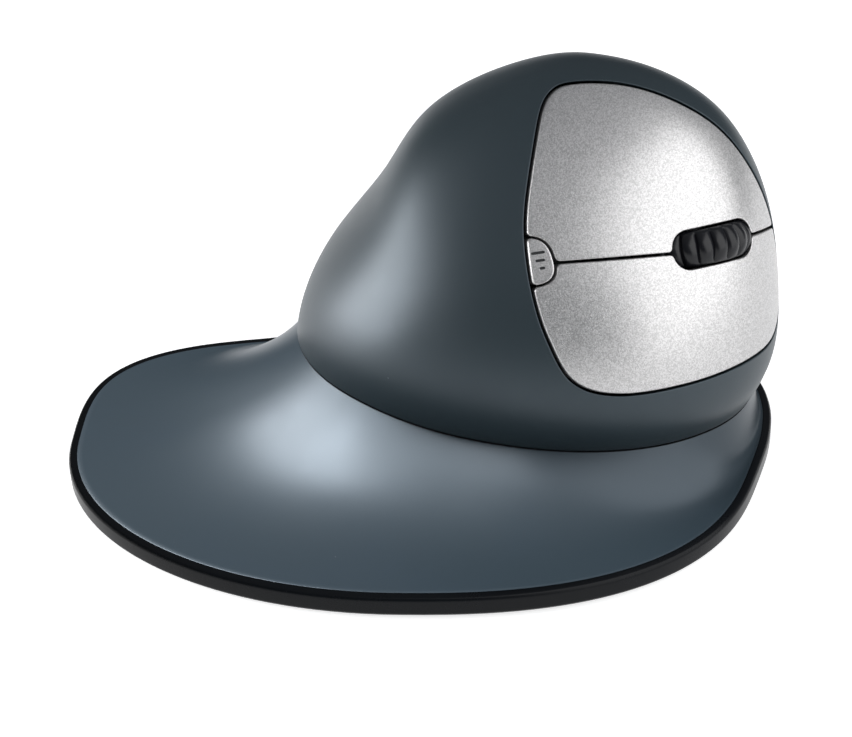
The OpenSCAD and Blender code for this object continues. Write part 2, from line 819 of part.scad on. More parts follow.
socket_size = [9, 7.4, 3.2];
socket_wall = 0.35;
socket_middle = 17.4;
socket_section = 0.7;
socket_front = hump_point(90, socket_section)[1] - shell_wall - 0.4;
port_board_z = socket_middle - socket_size[2] / 2 - board_wall;
port_board_width = 10.4;
port_board_ends = [10.4, 2.8];
port_wing = [17, 3.8];
port_screw_places = [[-6.6, socket_front - 8.5], [6.6, socket_front - 8.5]];
port_screw_length = 5;

chassis_leg_places = [-17, -1.5];
leg_width = 5;
leg_foot = 6;
leg_screw_length = 8;
function panel_place(p) = panel_at + p[0] * panel_u + p[1] * panel_v + p[2] * panel_out;
function leg_at(u) =
    let (p = panel_place([u, chassis_low[1] + 1.5, -chassis_depth - chassis_wall / 2]))
    [p[0], p[1]];

bracket_wall = 2;
bracket_x = thumb_board_x + board_wall;
bracket_length = 30;
bracket_top = thumb_at[2] + 5;
bracket_bottom = thumb_at[2] - 5;
bracket_foot = 5.2;
bracket_foot_wall = 3;
bracket_mid = thumb_at[1];
bracket_foot_length = 20;
bracket_foot_mid = bracket_mid + 2;
bracket_screw_x = bracket_x - bracket_foot / 2 + 0.6;
bracket_screw_half = 7;
bracket_screw_places = [
    [bracket_screw_x, bracket_foot_mid - bracket_screw_half],
    [bracket_screw_x, bracket_foot_mid + bracket_screw_half]
];
thumb_board_size = [30, 9];
thumb_board_screws = [-13, 13];

// Places of the screws that come up through the base plate, in the hump's frame
from_below = concat(
    [for (u = chassis_leg_places) leg_at(u)],
    bracket_screw_places
);

module base_plate() {
    color("#1a1d20") difference() {
        union() {
            translate([0, 0, plate_bottom]) linear_extrude(plate_wall) polygon(edge_inset(lip_width));
            in_hump() {
                for (a = post_turns) translate([post_at(a)[0], post_at(a)[1], plate_bottom])
                    cylinder(r = post_boss_radius, h = post_bottom - plate_bottom);
                for (p = main_screw_places) translate([p[0], p[1], plate_bottom])
                    cylinder(r = standoff_radius, h = main_board_z - plate_bottom);
                for (p = port_screw_places) translate([p[0], p[1], plate_bottom])
                    cylinder(r = standoff_radius, h = port_board_z - plate_bottom);
            }
        }
        translate([0, 0, plate_bottom - 1]) at_feet()
            linear_extrude(foot_seat + 1)
                polygon(stadium(foot_length + 2 * foot_fit, foot_width + 2 * foot_fit));
        in_hump() {
            for (a = post_turns) translate(post_at(a))
                screw_way(case_shank, case_head, sink_depth + case_extra_sink);
            for (p = from_below) translate(p) screw_way(plate_shank, plate_head, sink_depth);
            for (p = main_screw_places) translate([p[0], p[1], main_board_z - main_screw_length + board_wall])
                cylinder(r = small_shank + thread_fit, h = main_screw_length);
            for (p = port_screw_places) translate([p[0], p[1], port_board_z - port_screw_length + board_wall])
                cylinder(r = small_shank + thread_fit, h = port_screw_length);
            translate([sensor_at[0], sensor_at[1], 0]) cylinder(r = window_radius, h = main_board_z);
            translate([power_at[0], power_at[1], plate_bottom + plate_wall / 2])
                cube(
                    [
                        power_knob[0] + 2 * power_fit,
                        power_knob[1] + power_travel + 2 * power_fit,
                        plate_wall + 2
                    ],
                    center = true
                );
        }
    }
}
// The hole for a screw from below, with room for its head
module screw_way(shank, head, depth) {
    translate([0, 0, plate_bottom - 1]) cylinder(r = shank + screw_hole_fit, h = 10);
    translate([0, 0, plate_bottom - 1]) cylinder(r = head + screw_hole_fit, h = depth + 1);
}
module screw_up(places, shank, head, depth, length) {
    in_hump() for (p = places) translate([p[0], p[1], plate_bottom + depth]) mirror([0, 0, 1])
        screw(shank, head, length);
}
module case_screws() {
    color("#8a8d90") screw_up(
        [for (a = post_turns) post_at(a)], case_shank, case_head, sink_depth + case_extra_sink,
        post_bottom - plate_bottom - sink_depth - case_extra_sink + post_screw_length - post_blind
    );
}
module chassis_screws() {
    color("#8a8d90") screw_up(
        [for (u = chassis_leg_places) leg_at(u)], plate_shank, plate_head, sink_depth,
        plate_wall - sink_depth + leg_screw_length - 0.5
    );
}

module main_board() {
    size = main_board_high - main_board_low;
    color("#1f5b3a") in_hump() difference() {
        union() {
            translate([main_board_low[0], main_board_low[1], main_board_z])
                cube([size[0], size[1], board_wall]);
            translate([ribbon_end[0] - lead_block[0] / 2, ribbon_end[1] - lead_block[1] / 2, main_board_z])
                cube([lead_block[0], lead_block[1], board_wall + lead_block[2]]);
        }
        for (p = main_screw_places) translate([p[0], p[1], main_board_z - 1])
            cylinder(r = small_shank + screw_hole_fit, h = board_wall + 2);
        translate([sensor_at[0], sensor_at[1], main_board_z - 1])
            cylinder(r = sensor_eye_radius, h = board_wall + 2);
    }
}
module main_screws() {
    color("#8a8d90") in_hump() for (p = main_screw_places) translate([p[0], p[1], main_board_top])
        screw(small_shank, small_head, main_screw_length - 0.4);
}
module sensor_chip() {
    color("#16181a") in_hump() translate([sensor_at[0], sensor_at[1], main_board_top])
        difference() {
            translate([-sensor_size[0] / 2, -sensor_size[1] / 2, 0]) cube(sensor_size);
            translate([0, 0, -1]) cylinder(r = 1, h = 2);
        }
}
module sensor_lens() {
    color("#cfe0ea") in_hump() translate([sensor_at[0], sensor_at[1], plate_top]) {
        translate([0, 0, -plate_wall / 2]) cylinder(r = window_radius - lens_fit, h = plate_wall / 2 + 0.2);
        cylinder(r = lens_flange_radius, h = lens_flange_wall);
        cylinder(r = sensor_eye_radius + 1, h = main_board_z - plate_top);
    }
}
lamp_radius = 1.5;
module sensor_lamp() {
    color("#b3202a") in_hump() translate([sensor_at[0], sensor_at[1] - sensor_size[1] / 2, main_board_top]) {
        translate([-lamp_radius, -5.2, 0]) cube([2 * lamp_radius, 3, lamp_radius]);
        translate([0, -2.2, lamp_radius]) rotate([90, 0, 0]) cylinder(r = lamp_radius, h = 3);
        translate([0, -2.2, lamp_radius]) sphere(r = lamp_radius);
    }
}
module radio_chip() {
    side = 5;
    corner = [main_board_high[0] - side - 1, main_board_low[1] + 7];
    color("#16181a") in_hump() translate([corner[0], corner[1], main_board_top]) cube([side, side, 1]);
}
module power_switch() {
    color("#3a3d40") in_hump() translate([power_at[0], power_at[1], main_board_z - power_size[2]])
        difference() {
            translate([-power_size[0] / 2, -power_size[1] / 2, 0]) cube(power_size);
            translate([0, 0, 0.3])
                cube([power_stem + 0.6, power_stem + power_travel + 0.6, 3], center = true);
        }
}
module power_slider() {
    knob_bottom = plate_bottom + 0.3;
    flange_bottom = plate_top + 0.1;
    flange_wall = 0.8;
    stem_top = main_board_z - power_size[2] + 1.2;
    color("#c9ccd0") in_hump() translate([power_at[0], power_at[1] + power_rest, 0]) {
        translate([-power_knob[0] / 2, -power_knob[1] / 2, knob_bottom])
            cube([power_knob[0], power_knob[1], flange_bottom - knob_bottom + 0.1]);
        translate([-power_flange[0] / 2, -power_flange[1] / 2, flange_bottom])
            cube([power_flange[0], power_flange[1], flange_wall]);
        translate([-power_stem / 2, -power_stem / 2, flange_bottom])
            cube([power_stem, power_stem, stem_top - flange_bottom]);
    }
}
module battery_tray() {
    room = [pack_size[0] + 2 * pack_fit, pack_size[1] + 2 * pack_fit];
    color("#2a2d30") in_hump() translate([pack_low[0] - pack_fit, pack_low[1] - pack_fit, plate_top])
        difference() {
            translate([-tray_wall, -tray_wall, 0])
                cube([room[0] + 2 * tray_wall, room[1] + 2 * tray_wall, tray_height]);
            translate([0, 0, tray_floor]) cube([room[0], room[1], tray_height]);
        }
}
module battery_pack() {
    color("#5b6f8c") in_hump() translate([pack_low[0], pack_low[1], plate_top + tray_floor]) cube(pack_size);
}

// A flat pill of a given width and height, run along +Y
module pill(width, height, depth) {
    rotate([-90, 0, 0]) {
        for (s = [-1, 1]) translate([s * (width - height) / 2, 0, 0]) cylinder(r = height / 2, h = depth);
        translate([-(width - height) / 2, -height / 2, 0]) cube([width - height, height, depth]);
    }
}
module charge_socket() {
    tongue = [socket_size[0] - 2.6, socket_size[1] - 1.5, 0.7];
    pad = [socket_size[0] - 3.2, socket_size[1] - 2, socket_wall];
    color("#b8bcc0") in_hump() translate([0, socket_front - socket_size[1], socket_middle]) {
        difference() {
            pill(socket_size[0], socket_size[2], socket_size[1]);
            translate([0, 1, 0])
                pill(socket_size[0] - 2 * socket_wall, socket_size[2] - 2 * socket_wall, socket_size[1]);
        }
        translate([-tongue[0] / 2, 0.5, -tongue[2] / 2]) cube(tongue);
        translate([-pad[0] / 2, 1, -socket_size[2] / 2]) cube(pad);
    }
}
module port_board() {
    color("#1f5b3a") in_hump() difference() {
        union() {
            translate([-port_board_width / 2, socket_front - port_board_ends[0], port_board_z])
                cube([port_board_width, port_board_ends[0] - port_board_ends[1], board_wall]);
            translate([-port_wing[0] / 2, socket_front - port_board_ends[0], port_board_z])
                cube([port_wing[0], port_wing[1], board_wall]);
        }
        for (p = port_screw_places) translate([p[0], p[1], port_board_z - 1])
            cylinder(r = small_shank + screw_hole_fit, h = board_wall + 2);
    }
}
module port_screws() {
    color("#8a8d90") in_hump() for (p = port_screw_places) translate([p[0], p[1], port_board_z + board_wall])
        screw(small_shank, small_head, port_screw_length - 0.4);
}

// Thumb switches on a board, held by an upright bracket on the base plate
module thumb_bracket() {
    color("#2a2d30") in_hump() difference() {
        union() {
            translate([bracket_x, bracket_mid - bracket_length / 2, bracket_bottom])
                cube([bracket_wall, bracket_length, bracket_top - bracket_bottom]);
            translate([bracket_x, bracket_foot_mid - bracket_foot_length / 2, plate_top])
                cube([bracket_wall, bracket_foot_length, bracket_top - plate_top]);
            translate([bracket_x - bracket_foot, bracket_foot_mid - bracket_foot_length / 2, plate_top])
                cube([bracket_foot + bracket_wall, bracket_foot_length, bracket_foot_wall]);
        }
        for (p = bracket_screw_places) translate([p[0], p[1], plate_top - 1])
            cylinder(r = plate_shank + thread_fit, h = bracket_foot_wall + 2);
        for (y = thumb_board_screws) translate([bracket_x - 1, bracket_mid + y, thumb_at[2]])
            rotate([0, 90, 0]) cylinder(r = small_shank + thread_fit, h = bracket_wall + 2);
    }
}
module thumb_board() {
    color("#1f5b3a") in_hump() difference() {
        translate([thumb_board_x, bracket_mid, thumb_at[2]])
            translate([0, -thumb_board_size[0] / 2, -thumb_board_size[1] / 2])
                cube([board_wall, thumb_board_size[0], thumb_board_size[1]]);
        for (y = thumb_board_screws) translate([thumb_board_x - 1, bracket_mid + y, thumb_at[2]])
            rotate([0, 90, 0]) cylinder(r = small_shank + screw_hole_fit, h = board_wall + 2);
    }
}
module thumb_screws() {
    color("#8a8d90") {
        screw_up(
            bracket_screw_places, plate_shank, plate_head, sink_depth,
            plate_wall - sink_depth + bracket_foot_wall - 0.3
        );
        in_hump() for (y = thumb_board_screws)
            translate([thumb_board_x, bracket_mid + y, thumb_at[2]]) rotate([0, -90, 0])
                screw(small_shank, small_head, board_wall + bracket_wall - 0.2);
    }
}
module thumb_switch(turn) {
    mid = hump_point(turn, thumb_section);
    color("#4a4d50") in_hump() translate([thumb_board_x, mid[1], mid[2]]) difference() {
        translate([-thumb_switch_size[0], -thumb_switch_size[1] / 2, -thumb_switch_size[2] / 2])
            cube(thumb_switch_size);
        translate([-thumb_switch_size[0] - 1, 0, 0]) rotate([0, 90, 0])
            cylinder(r = tact_stem_radius + running_fit, h = 1 + 2 * tact_stem_rise);
    }
}
module thumb_stem(turn) {
    mid = hump_point(turn, thumb_section);
    color("#d8d4c8") in_hump()
        translate([thumb_board_x - thumb_switch_size[0] - tact_stem_rise, mid[1], mid[2]]) rotate([0, 90, 0])
            cylinder(r = tact_stem_radius, h = 2 * tact_stem_rise);
}
module thumb_front_switch() {
    thumb_switch(thumb_front_turn);
}
module thumb_front_stem() {
    thumb_stem(thumb_front_turn);
}
module thumb_rear_switch() {
    thumb_switch(thumb_rear_turn);
}
module thumb_rear_stem() {
    thumb_stem(thumb_rear_turn);
}

// Scroll wheel: hub with its axle, tyre, carriage, turn sensor and press switch
axle_radius = 1.5;
axle_near = -7.4;
axle_far = 10;
hub_width = 5;
tyre_seat = 0.05;
tyre_crown = 0.8;
well_crown = 1;
rib_gap_radius = 0.75;
cheek_near = 4.2;
cheek_wall = 2;
cheek_half = 4;
cheek_top = -wheel_drop + 2.5;
wheel_switch_at = [14.8, 0];
wheel_switch_size = [3.6, 4.5, 2.1];
wheel_stem_sunk = 0.7;
// Room between the wheel's switch and the carriage over it
wheel_switch_room = 0.9;
carriage_wall = 1.8;
carriage_bottom = -board_depth + wheel_switch_size[2] + wheel_switch_room;
carriage_top = carriage_bottom + carriage_wall;
carriage_half = [16, 7.5];
carriage_window = [12.3, 3.7];
guide_places = [[-14.3, 0], [9.5, 5.8], [9.5, -5.8]];
guide_radius = 1.2;
// How far the guides stand through the carriage
guide_rise = 1.2;
guide_top = carriage_top + guide_rise;
encoder_wall = 4;
encoder_half = 5;
encoder_top = -6.3;
encoder_bottom = carriage_top;

module at_wheel() {
    in_panel() translate([0, 0, -wheel_drop]) rotate([-90, 0, 0]) children();
}
// Section of a crowned ring, from its inner radius out
function crowned(inner, outer, crown, width, steps) = concat(
    [[inner, -width / 2]],
    [for (k = [0:steps]) let (f = 2 * k / steps - 1) [outer - crown * f * f, f * width / 2]],
    [[inner, width / 2]]
);
// The room that the wheel turns in, cut into both keys
module wheel_well() {
    width = tyre_width + 2 * wheel_side_gap;
    at_wheel() rotate_extrude() polygon(crowned(0, wheel_radius + wheel_end_gap, well_crown, width, 10));
}
module scroll_tyre() {
    color("#1d1f21") at_wheel() difference() {
        rotate_extrude() polygon(crowned(wheel_radius - tyre_wall, wheel_radius, tyre_crown, tyre_width, 8));
        for (k = [1:tyre_ribs]) rotate(k * 360 / tyre_ribs) translate([wheel_radius + 0.15, 0, 0])
            cylinder(r = rib_gap_radius, h = tyre_width + 2, center = true);
    }
}
module scroll_wheel() {
    rim_radius = wheel_radius - tyre_wall - tyre_seat;
    color("#2b2d30") at_wheel() difference() {
        union() {
            cylinder(r = rim_radius, h = hub_width, center = true);
            translate([0, 0, axle_near]) cylinder(r = axle_radius, h = axle_far - axle_near);
            cylinder(r = axle_radius + 1.5, h = 2 * cheek_near - 0.4, center = true);
        }
        for (s = [-1, 1]) translate([0, 0, s * hub_width / 2]) difference() {
            cylinder(r = rim_radius - 1.6, h = 2.4, center = true);
            cylinder(r = axle_radius + 1.5, h = 4, center = true);
        }
    }
}
module scroll_carriage() {
    color("#33363a") in_panel() difference() {
        union() {
            difference() {
                translate([-carriage_half[0], -carriage_half[1], carriage_bottom])
                    cube([2 * carriage_half[0], 2 * carriage_half[1], carriage_wall]);
                translate([-carriage_window[0], -carriage_window[1], carriage_bottom - 1])
                    cube([2 * carriage_window[0], 2 * carriage_window[1], carriage_wall + 2]);
            }
            for (v = [cheek_near, -cheek_near - cheek_wall]) translate([-cheek_half, v, carriage_bottom])
                cube([2 * cheek_half, cheek_wall, cheek_top - carriage_bottom]);
        }
        for (p = guide_places) translate([p[0], p[1], carriage_bottom - 1])
            cylinder(r = guide_radius + running_fit, h = carriage_wall + 2);
        translate([0, 0, -wheel_drop]) rotate([90, 0, 0])
            cylinder(r = axle_radius + running_fit, h = 30, center = true);
    }
}
module scroll_encoder() {
    color("#4a5a48") in_panel() difference() {
        translate([-encoder_half, cheek_near + cheek_wall, encoder_bottom])
            cube([2 * encoder_half, encoder_wall, encoder_top - encoder_bottom]);
        translate([0, 0, -wheel_drop]) rotate([90, 0, 0])
            cylinder(r = axle_radius + running_fit, h = 30, center = true);
    }
}
module wheel_switch() {
    at = wheel_switch_at;
    color("#4a4d50") in_panel() translate([at[0], at[1], -board_depth]) difference() {
        translate([-wheel_switch_size[0] / 2, -wheel_switch_size[1] / 2, 0]) cube(wheel_switch_size);
        translate([0, 0, wheel_switch_size[2] - wheel_stem_sunk - tact_stem_rise])
            cylinder(r = tact_stem_radius + running_fit, h = 3);
    }
}
module wheel_switch_stem() {
    foot = -board_depth + wheel_switch_size[2] - wheel_stem_sunk;
    color("#d8d4c8") in_panel() translate([wheel_switch_at[0], wheel_switch_at[1], foot])
        cylinder(r = tact_stem_radius, h = carriage_bottom - foot);
}

// What the keys turn on, and the switches behind them
ear_places = [-19.3, -3, 5.5, 17.8];
ear_wall = 2;
ear_radius = 2.5;
pin_low = ear_places[0];
pin_high = ear_places[3] + ear_wall;
board_screw_places = [[-13, 12], [-13, -11.5], [8.5, 11], [8.5, -11]];
board_screw_length = 6;
module key_hinge(lugs) {
    low = lugs[0];
    high = lugs[1] + lug_width;
    color("#3a3d40") in_panel() difference() {
        union() {
            translate([hinge_bar_low, low, -hinge_bar_depth - hinge_bar_wall])
                cube([hinge_bar_width, high - low, hinge_bar_wall]);
            for (v = lugs) {
                translate([hinge_u, v, -hinge_depth]) rotate([-90, 0, 0])
                    cylinder(r = lug_radius, h = lug_width);
                translate([hinge_bar_low, v, -hinge_depth])
                    cube([hinge_bar_width - 0.6, lug_width, hinge_depth - hinge_bar_depth - 0.5]);
            }
        }
        translate([hinge_u, 0, -hinge_depth]) rotate([90, 0, 0])
            cylinder(r = pin_radius + running_fit, h = 60, center = true);
    }
}
module upper_hinge() {
    key_hinge(upper_lugs);
}
module lower_hinge() {
    key_hinge(lower_lugs);
}
module hinge_pin() {
    color("#b8bcc0") in_panel() translate([hinge_u, pin_low, -hinge_depth]) rotate([-90, 0, 0])
        cylinder(r = pin_radius, h = pin_high - pin_low);
}
module key_chassis() {
    plate_low = -chassis_depth - chassis_wall;
    color("#2f3236") difference() {
        union() {
            in_panel() {
                translate([chassis_low[0], chassis_low[1], plate_low])
                    cube([chassis_high[0] - chassis_low[0], chassis_high[1] - chassis_low[1], chassis_wall]);
                translate([chassis_low[0], pin_low, plate_low])
                    cube([2 * lug_radius, pin_high - pin_low, chassis_wall]);
                for (p = board_screw_places) translate([p[0], p[1], -chassis_depth - chassis_wall / 2])
                    cylinder(r = standoff_radius, h = chassis_depth + chassis_wall / 2 - board_back);
                for (p = guide_places) translate([p[0], p[1], -chassis_depth - chassis_wall / 2])
                    cylinder(r = guide_radius, h = chassis_depth + chassis_wall / 2 + guide_top);
                for (v = ear_places) {
                    translate([hinge_u, v, -hinge_depth]) rotate([-90, 0, 0])
                        cylinder(r = ear_radius, h = ear_wall);
                    translate([hinge_u - ear_radius, v, plate_low])
                        cube([2 * ear_radius, ear_wall, -hinge_depth - plate_low]);
                }
            }
            for (u = chassis_leg_places)
                hull() {
                    in_panel() translate([u - leg_width / 2, chassis_low[1], plate_low])
                        cube([leg_width, 3, chassis_wall]);
                    in_hump() translate([leg_at(u)[0] - leg_foot / 2, leg_at(u)[1] - leg_foot / 2, plate_top])
                        cube([leg_foot, leg_foot, 2]);
                }
        }
        in_panel() {
            for (p = board_screw_places) translate([p[0], p[1], -board_back - board_screw_length])
                cylinder(r = small_shank + thread_fit, h = board_screw_length + 1);
            translate([hinge_u, 0, -hinge_depth]) rotate([90, 0, 0])
                cylinder(r = pin_radius + running_fit, h = 60, center = true);
        }
        in_hump() for (u = chassis_leg_places) translate([leg_at(u)[0], leg_at(u)[1], plate_top - 1])
            cylinder(r = plate_shank + thread_fit, h = leg_screw_length + 1);
    }
}
module switch_board() {
    tongue = [-30.4, -1.2, 6.8];
    nose = [17, 7.5];
    window = carriage_window + [0.3, 0.3];
    plug = [9, 2.5, 1.6];
    color("#1f5b3a") in_panel() translate([0, 0, -board_back]) difference() {
        union() {
            translate([board_low[0], board_low[1], 0])
                cube([board_high[0] - board_low[0], board_high[1] - board_low[1], board_wall]);
            translate([tongue[0], tongue[1], 0]) cube([-tongue[0], tongue[2] - tongue[1], board_wall]);
            translate([0, -nose[1], 0]) cube([nose[0], 2 * nose[1], board_wall]);
            translate([ribbon_u - plug[0] / 2, board_low[1], touch - plug[2]]) cube(plug);
        }
        translate([-window[0], -window[1], -1]) cube([2 * window[0], 2 * window[1], board_wall + 2]);
        for (p = board_screw_places) translate([p[0], p[1], -1])
            cylinder(r = small_shank + screw_hole_fit, h = board_wall + 2);
        for (p = guide_places) translate([p[0], p[1], -1])
            cylinder(r = guide_radius + screw_hole_fit, h = board_wall + 2);
    }
}
module board_screws() {
    color("#8a8d90") in_panel() for (p = board_screw_places) translate([p[0], p[1], -board_depth])
        screw(small_shank, small_head, board_screw_length);
}
module click_switch(side) {
    floor_depth = plunger_rest - plunger_length - key_travel - stem_room;
    color("#26282b") in_panel() difference() {
        translate([switch_at[0] - switch_size[0] / 2, side * switch_at[1] - switch_size[1] / 2, -board_depth])
            cube(switch_size);
        translate([plunger_at[0], side * plunger_at[1], floor_depth])
            cylinder(r = plunger_radius + running_fit, h = 10);
    }
}
module click_plunger(side) {
    foot = plunger_rest - plunger_length;
    color("#c23b34") in_panel() translate([plunger_at[0], side * plunger_at[1], foot])
        cylinder(r = plunger_radius, h = plunger_length);
}
module upper_switch() {
    click_switch(1);
}
module upper_plunger() {
    click_plunger(1);
}
module lower_switch() {
    click_switch(-1);
}
module lower_plunger() {
    click_plunger(-1);
}
module sensitivity_switch() {
    color("#4a4d50") in_panel() translate([small_stem_at[0], small_stem_at[1], -board_depth]) difference() {
        translate([-small_switch_size[0] / 2, -small_switch_size[1] / 2, 0]) cube(small_switch_size);
        translate([0, 0, small_switch_size[2] - 2 * tact_stem_rise])
            cylinder(r = tact_stem_radius + running_fit, h = 4);
    }
}
module sensitivity_stem() {
    color("#d8d4c8") in_panel()
        translate([small_stem_at[0], small_stem_at[1], -board_depth + small_switch_size[2] - tact_stem_rise])
            cylinder(r = tact_stem_radius, h = 2 * tact_stem_rise);
}

// The flat lead, bent in a plane square to u
function bezier(a, b, c, d, t) =
    let (s = 1 - t) s * s * s * a + 3 * s * s * t * b + 3 * s * t * t * c + t * t * t * d;
module ribbon_cable() {
    leave = ribbon_start + [-9, 0];
    land = ribbon_stop + 9 * ribbon_climb / norm(ribbon_climb);
    path = [for (k = [0:ribbon_steps]) bezier(ribbon_start, leave, land, ribbon_stop, k / ribbon_steps)];
    sides = [
        for (k = [0:ribbon_steps])
            let (t = path[min(k + 1, ribbon_steps)] - path[max(k - 1, 0)])
            [t[1], -t[0]] / norm(t) * ribbon_wall / 2
    ];
    outline = concat(
        [for (k = [0:ribbon_steps]) path[k] + sides[k]],
        [for (k = [ribbon_steps:-1:0]) path[k] - sides[k]]
    );
    color("#c8b48c") in_panel()
        multmatrix(frame([0, 1, 0], [0, 0, 1], [1, 0, 0], [ribbon_u - ribbon_width / 2, 0, 0]))
            linear_extrude(ribbon_width) polygon(outline);
}

body_shell();
upper_key();
lower_key();
sensitivity_key();
thumb_front_key();
thumb_rear_key();
brim_cover();
rim_band();
base_plate();
glide_feet();
scroll_wheel();
scroll_tyre();
scroll_carriage();
scroll_encoder();
wheel_switch();
wheel_switch_stem();
key_chassis();
hinge_pin();
upper_hinge();
lower_hinge();
switch_board();
upper_switch();
upper_plunger();
lower_switch();
lower_plunger();
sensitivity_switch();
sensitivity_stem();
board_screws();
chassis_screws();
thumb_bracket();
thumb_board();
thumb_front_switch();
thumb_front_stem();
thumb_rear_switch();
thumb_rear_stem();
thumb_screws();
main_board();
main_screws();
sensor_chip();
sensor_lens();
sensor_lamp();
radio_chip();
power_switch();
power_slider();
battery_pack();
battery_tray();
port_board();
port_screws();
charge_socket();
ribbon_cable();
case_screws();
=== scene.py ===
"""A right-hand vertical mouse with a flared hand rest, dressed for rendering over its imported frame.

The leaning hump, its keys, the hand rest and its lip are rebuilt as smooth pieces in the places of their
CAD solids. Every other CAD node keeps its mesh and gets a finish of its own.
"""

import logging
import math
from dataclasses import dataclass, field
from enum import Enum
from functools import cached_property
from typing import Callable, Hashable, Iterable, Protocol, Sequence

import bpy
import numpy as np
from mathutils import Matrix, Quaternion, Vector
from mathutils.geometry import delaunay_2d_cdt


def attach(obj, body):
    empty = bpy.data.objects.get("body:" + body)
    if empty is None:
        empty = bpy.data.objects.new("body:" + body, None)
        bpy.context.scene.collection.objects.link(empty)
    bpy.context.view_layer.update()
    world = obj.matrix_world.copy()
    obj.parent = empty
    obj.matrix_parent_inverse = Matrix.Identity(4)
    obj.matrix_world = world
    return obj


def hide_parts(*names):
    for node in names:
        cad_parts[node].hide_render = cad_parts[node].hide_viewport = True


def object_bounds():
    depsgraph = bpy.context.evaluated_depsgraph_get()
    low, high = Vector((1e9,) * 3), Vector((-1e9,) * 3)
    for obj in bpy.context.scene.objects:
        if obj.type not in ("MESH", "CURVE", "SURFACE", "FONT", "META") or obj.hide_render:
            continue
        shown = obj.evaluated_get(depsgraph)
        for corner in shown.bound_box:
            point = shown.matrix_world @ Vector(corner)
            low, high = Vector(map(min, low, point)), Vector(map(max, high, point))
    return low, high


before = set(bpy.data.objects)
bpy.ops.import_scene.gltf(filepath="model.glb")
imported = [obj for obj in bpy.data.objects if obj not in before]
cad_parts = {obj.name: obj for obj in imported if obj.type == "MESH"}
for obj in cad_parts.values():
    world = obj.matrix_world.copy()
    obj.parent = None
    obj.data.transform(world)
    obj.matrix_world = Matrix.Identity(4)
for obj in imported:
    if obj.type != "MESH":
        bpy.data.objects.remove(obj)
CAD_BOX = [list(corner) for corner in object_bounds()]

LOG = logging.getLogger("vertical_mouse")
MM = 0.001
TINY = 1e-12
CHUNK = 4000
WHITE = (1.0, 1.0, 1.0, 1.0)

Array = np.ndarray
Socket = bpy.types.NodeSocket
Piece = bpy.types.Object
Colour = tuple[float, float, float]
Field = Callable[[Array], Array]


# Plain geometry


def rounded(c: Array, square: float) -> Array:
    """Signed power that squares off a circle: a square of 2 leaves it round."""
    return np.sign(c) * np.abs(c) ** (2.0 / square)


def unit(v: Array) -> Array:
    """Vectors scaled to length one."""
    return v / np.maximum(np.linalg.norm(v, axis=-1, keepdims=True), TINY)


def closed_curve(corners: Array, steps: int) -> Array:
    """Smooth closed curve through corners.

    Args:
        corners: Points that the curve passes through, in order.
        steps: Points on the curve for each corner.

    Returns:
        The curve's points.
    """
    u = (np.arange(steps) / steps)[None, :, None]
    a, b, c, d = (np.roll(corners, shift, axis=0)[:, None] for shift in (1, 0, -1, -2))
    curve = 0.5 * (
        2 * b + (c - a) * u + (2 * a - 5 * b + 4 * c - d) * u**2 + (3 * b - a - 3 * c + d) * u**3
    )
    return curve.reshape(-1, corners.shape[1])


def inside_loop(points: Array, loop: Array) -> Array:
    """Which points lie inside a closed loop in the plane.

    Args:
        points: Places in the plane.
        loop: The loop's corners.

    Returns:
        True for each point inside.
    """
    nxt = np.roll(loop, -1, axis=0)
    result = np.zeros(len(points), bool)
    for start in range(0, len(points), CHUNK):
        x, y = points[start : start + CHUNK, 0, None], points[start : start + CHUNK, 1, None]
        spans = (loop[:, 1] > y) != (nxt[:, 1] > y)
        rise = np.where(nxt[:, 1] == loop[:, 1], TINY, nxt[:, 1] - loop[:, 1])
        cross = loop[:, 0] + (y - loop[:, 1]) * (nxt[:, 0] - loop[:, 0]) / rise
        result[start : start + CHUNK] = (spans & (x < cross)).sum(axis=1) % 2 == 1
    return result


def loop_field(points: Array, loop: Array) -> Array:
    """Signed distance from a closed loop in the plane, negative inside.

    Args:
        points: Places in the plane.
        loop: The loop's corners.

    Returns:
        The distances.
    """
    span = np.roll(loop, -1, axis=0) - loop
    square = np.maximum((span**2).sum(axis=1), TINY)
    result = np.empty(len(points))
    for first in range(0, len(points), CHUNK):
        p = points[first : first + CHUNK, None, :] - loop
        share = np.clip((p * span).sum(axis=2) / square, 0, 1)
        square_gap = ((p - share[..., None] * span) ** 2).sum(axis=2)
        result[first : first + CHUNK] = np.sqrt(square_gap.min(axis=1))
    return np.where(inside_loop(points, loop), -result, result)


def box_field(points: Array, half: Sequence[float], radius: float) -> Array:
    """Signed distance from a rounded rectangle about the origin, negative inside."""
    q = np.abs(points) - np.array(half) + radius
    return np.linalg.norm(np.maximum(q, 0), axis=1) + np.minimum(q.max(axis=1), 0) - radius


def oval_field(points: Array, half: Sequence[float], square: float) -> Array:
    """Signed distance, close to true near the edge, from a squared oval about the origin."""
    share = np.abs(points) / np.array(half)
    near = np.maximum((share**square).sum(axis=1), TINY) ** (1 / square)
    slope = np.linalg.norm((share / near[:, None]) ** (square - 1) / np.array(half), axis=1)
    return (near - 1) / np.maximum(slope, 1e-9)


def both(a: Array, b: Array, radius: float) -> Array:
    """Field of what lies inside two fields, with its corners rounded."""
    outer = np.hypot(np.maximum(a + radius, 0), np.maximum(b + radius, 0))
    return np.minimum(np.maximum(a + radius, b + radius), 0) + outer - radius


def slopes(field_of: Field, points: Array, step: float = 0.02) -> Array:
    """Gradient of a field at places in the plane."""
    x, y = np.array([step, 0.0]), np.array([0.0, step])
    return np.stack(
        [field_of(points + x) - field_of(points - x), field_of(points + y) - field_of(points - y)], axis=1
    ) / (2 * step)


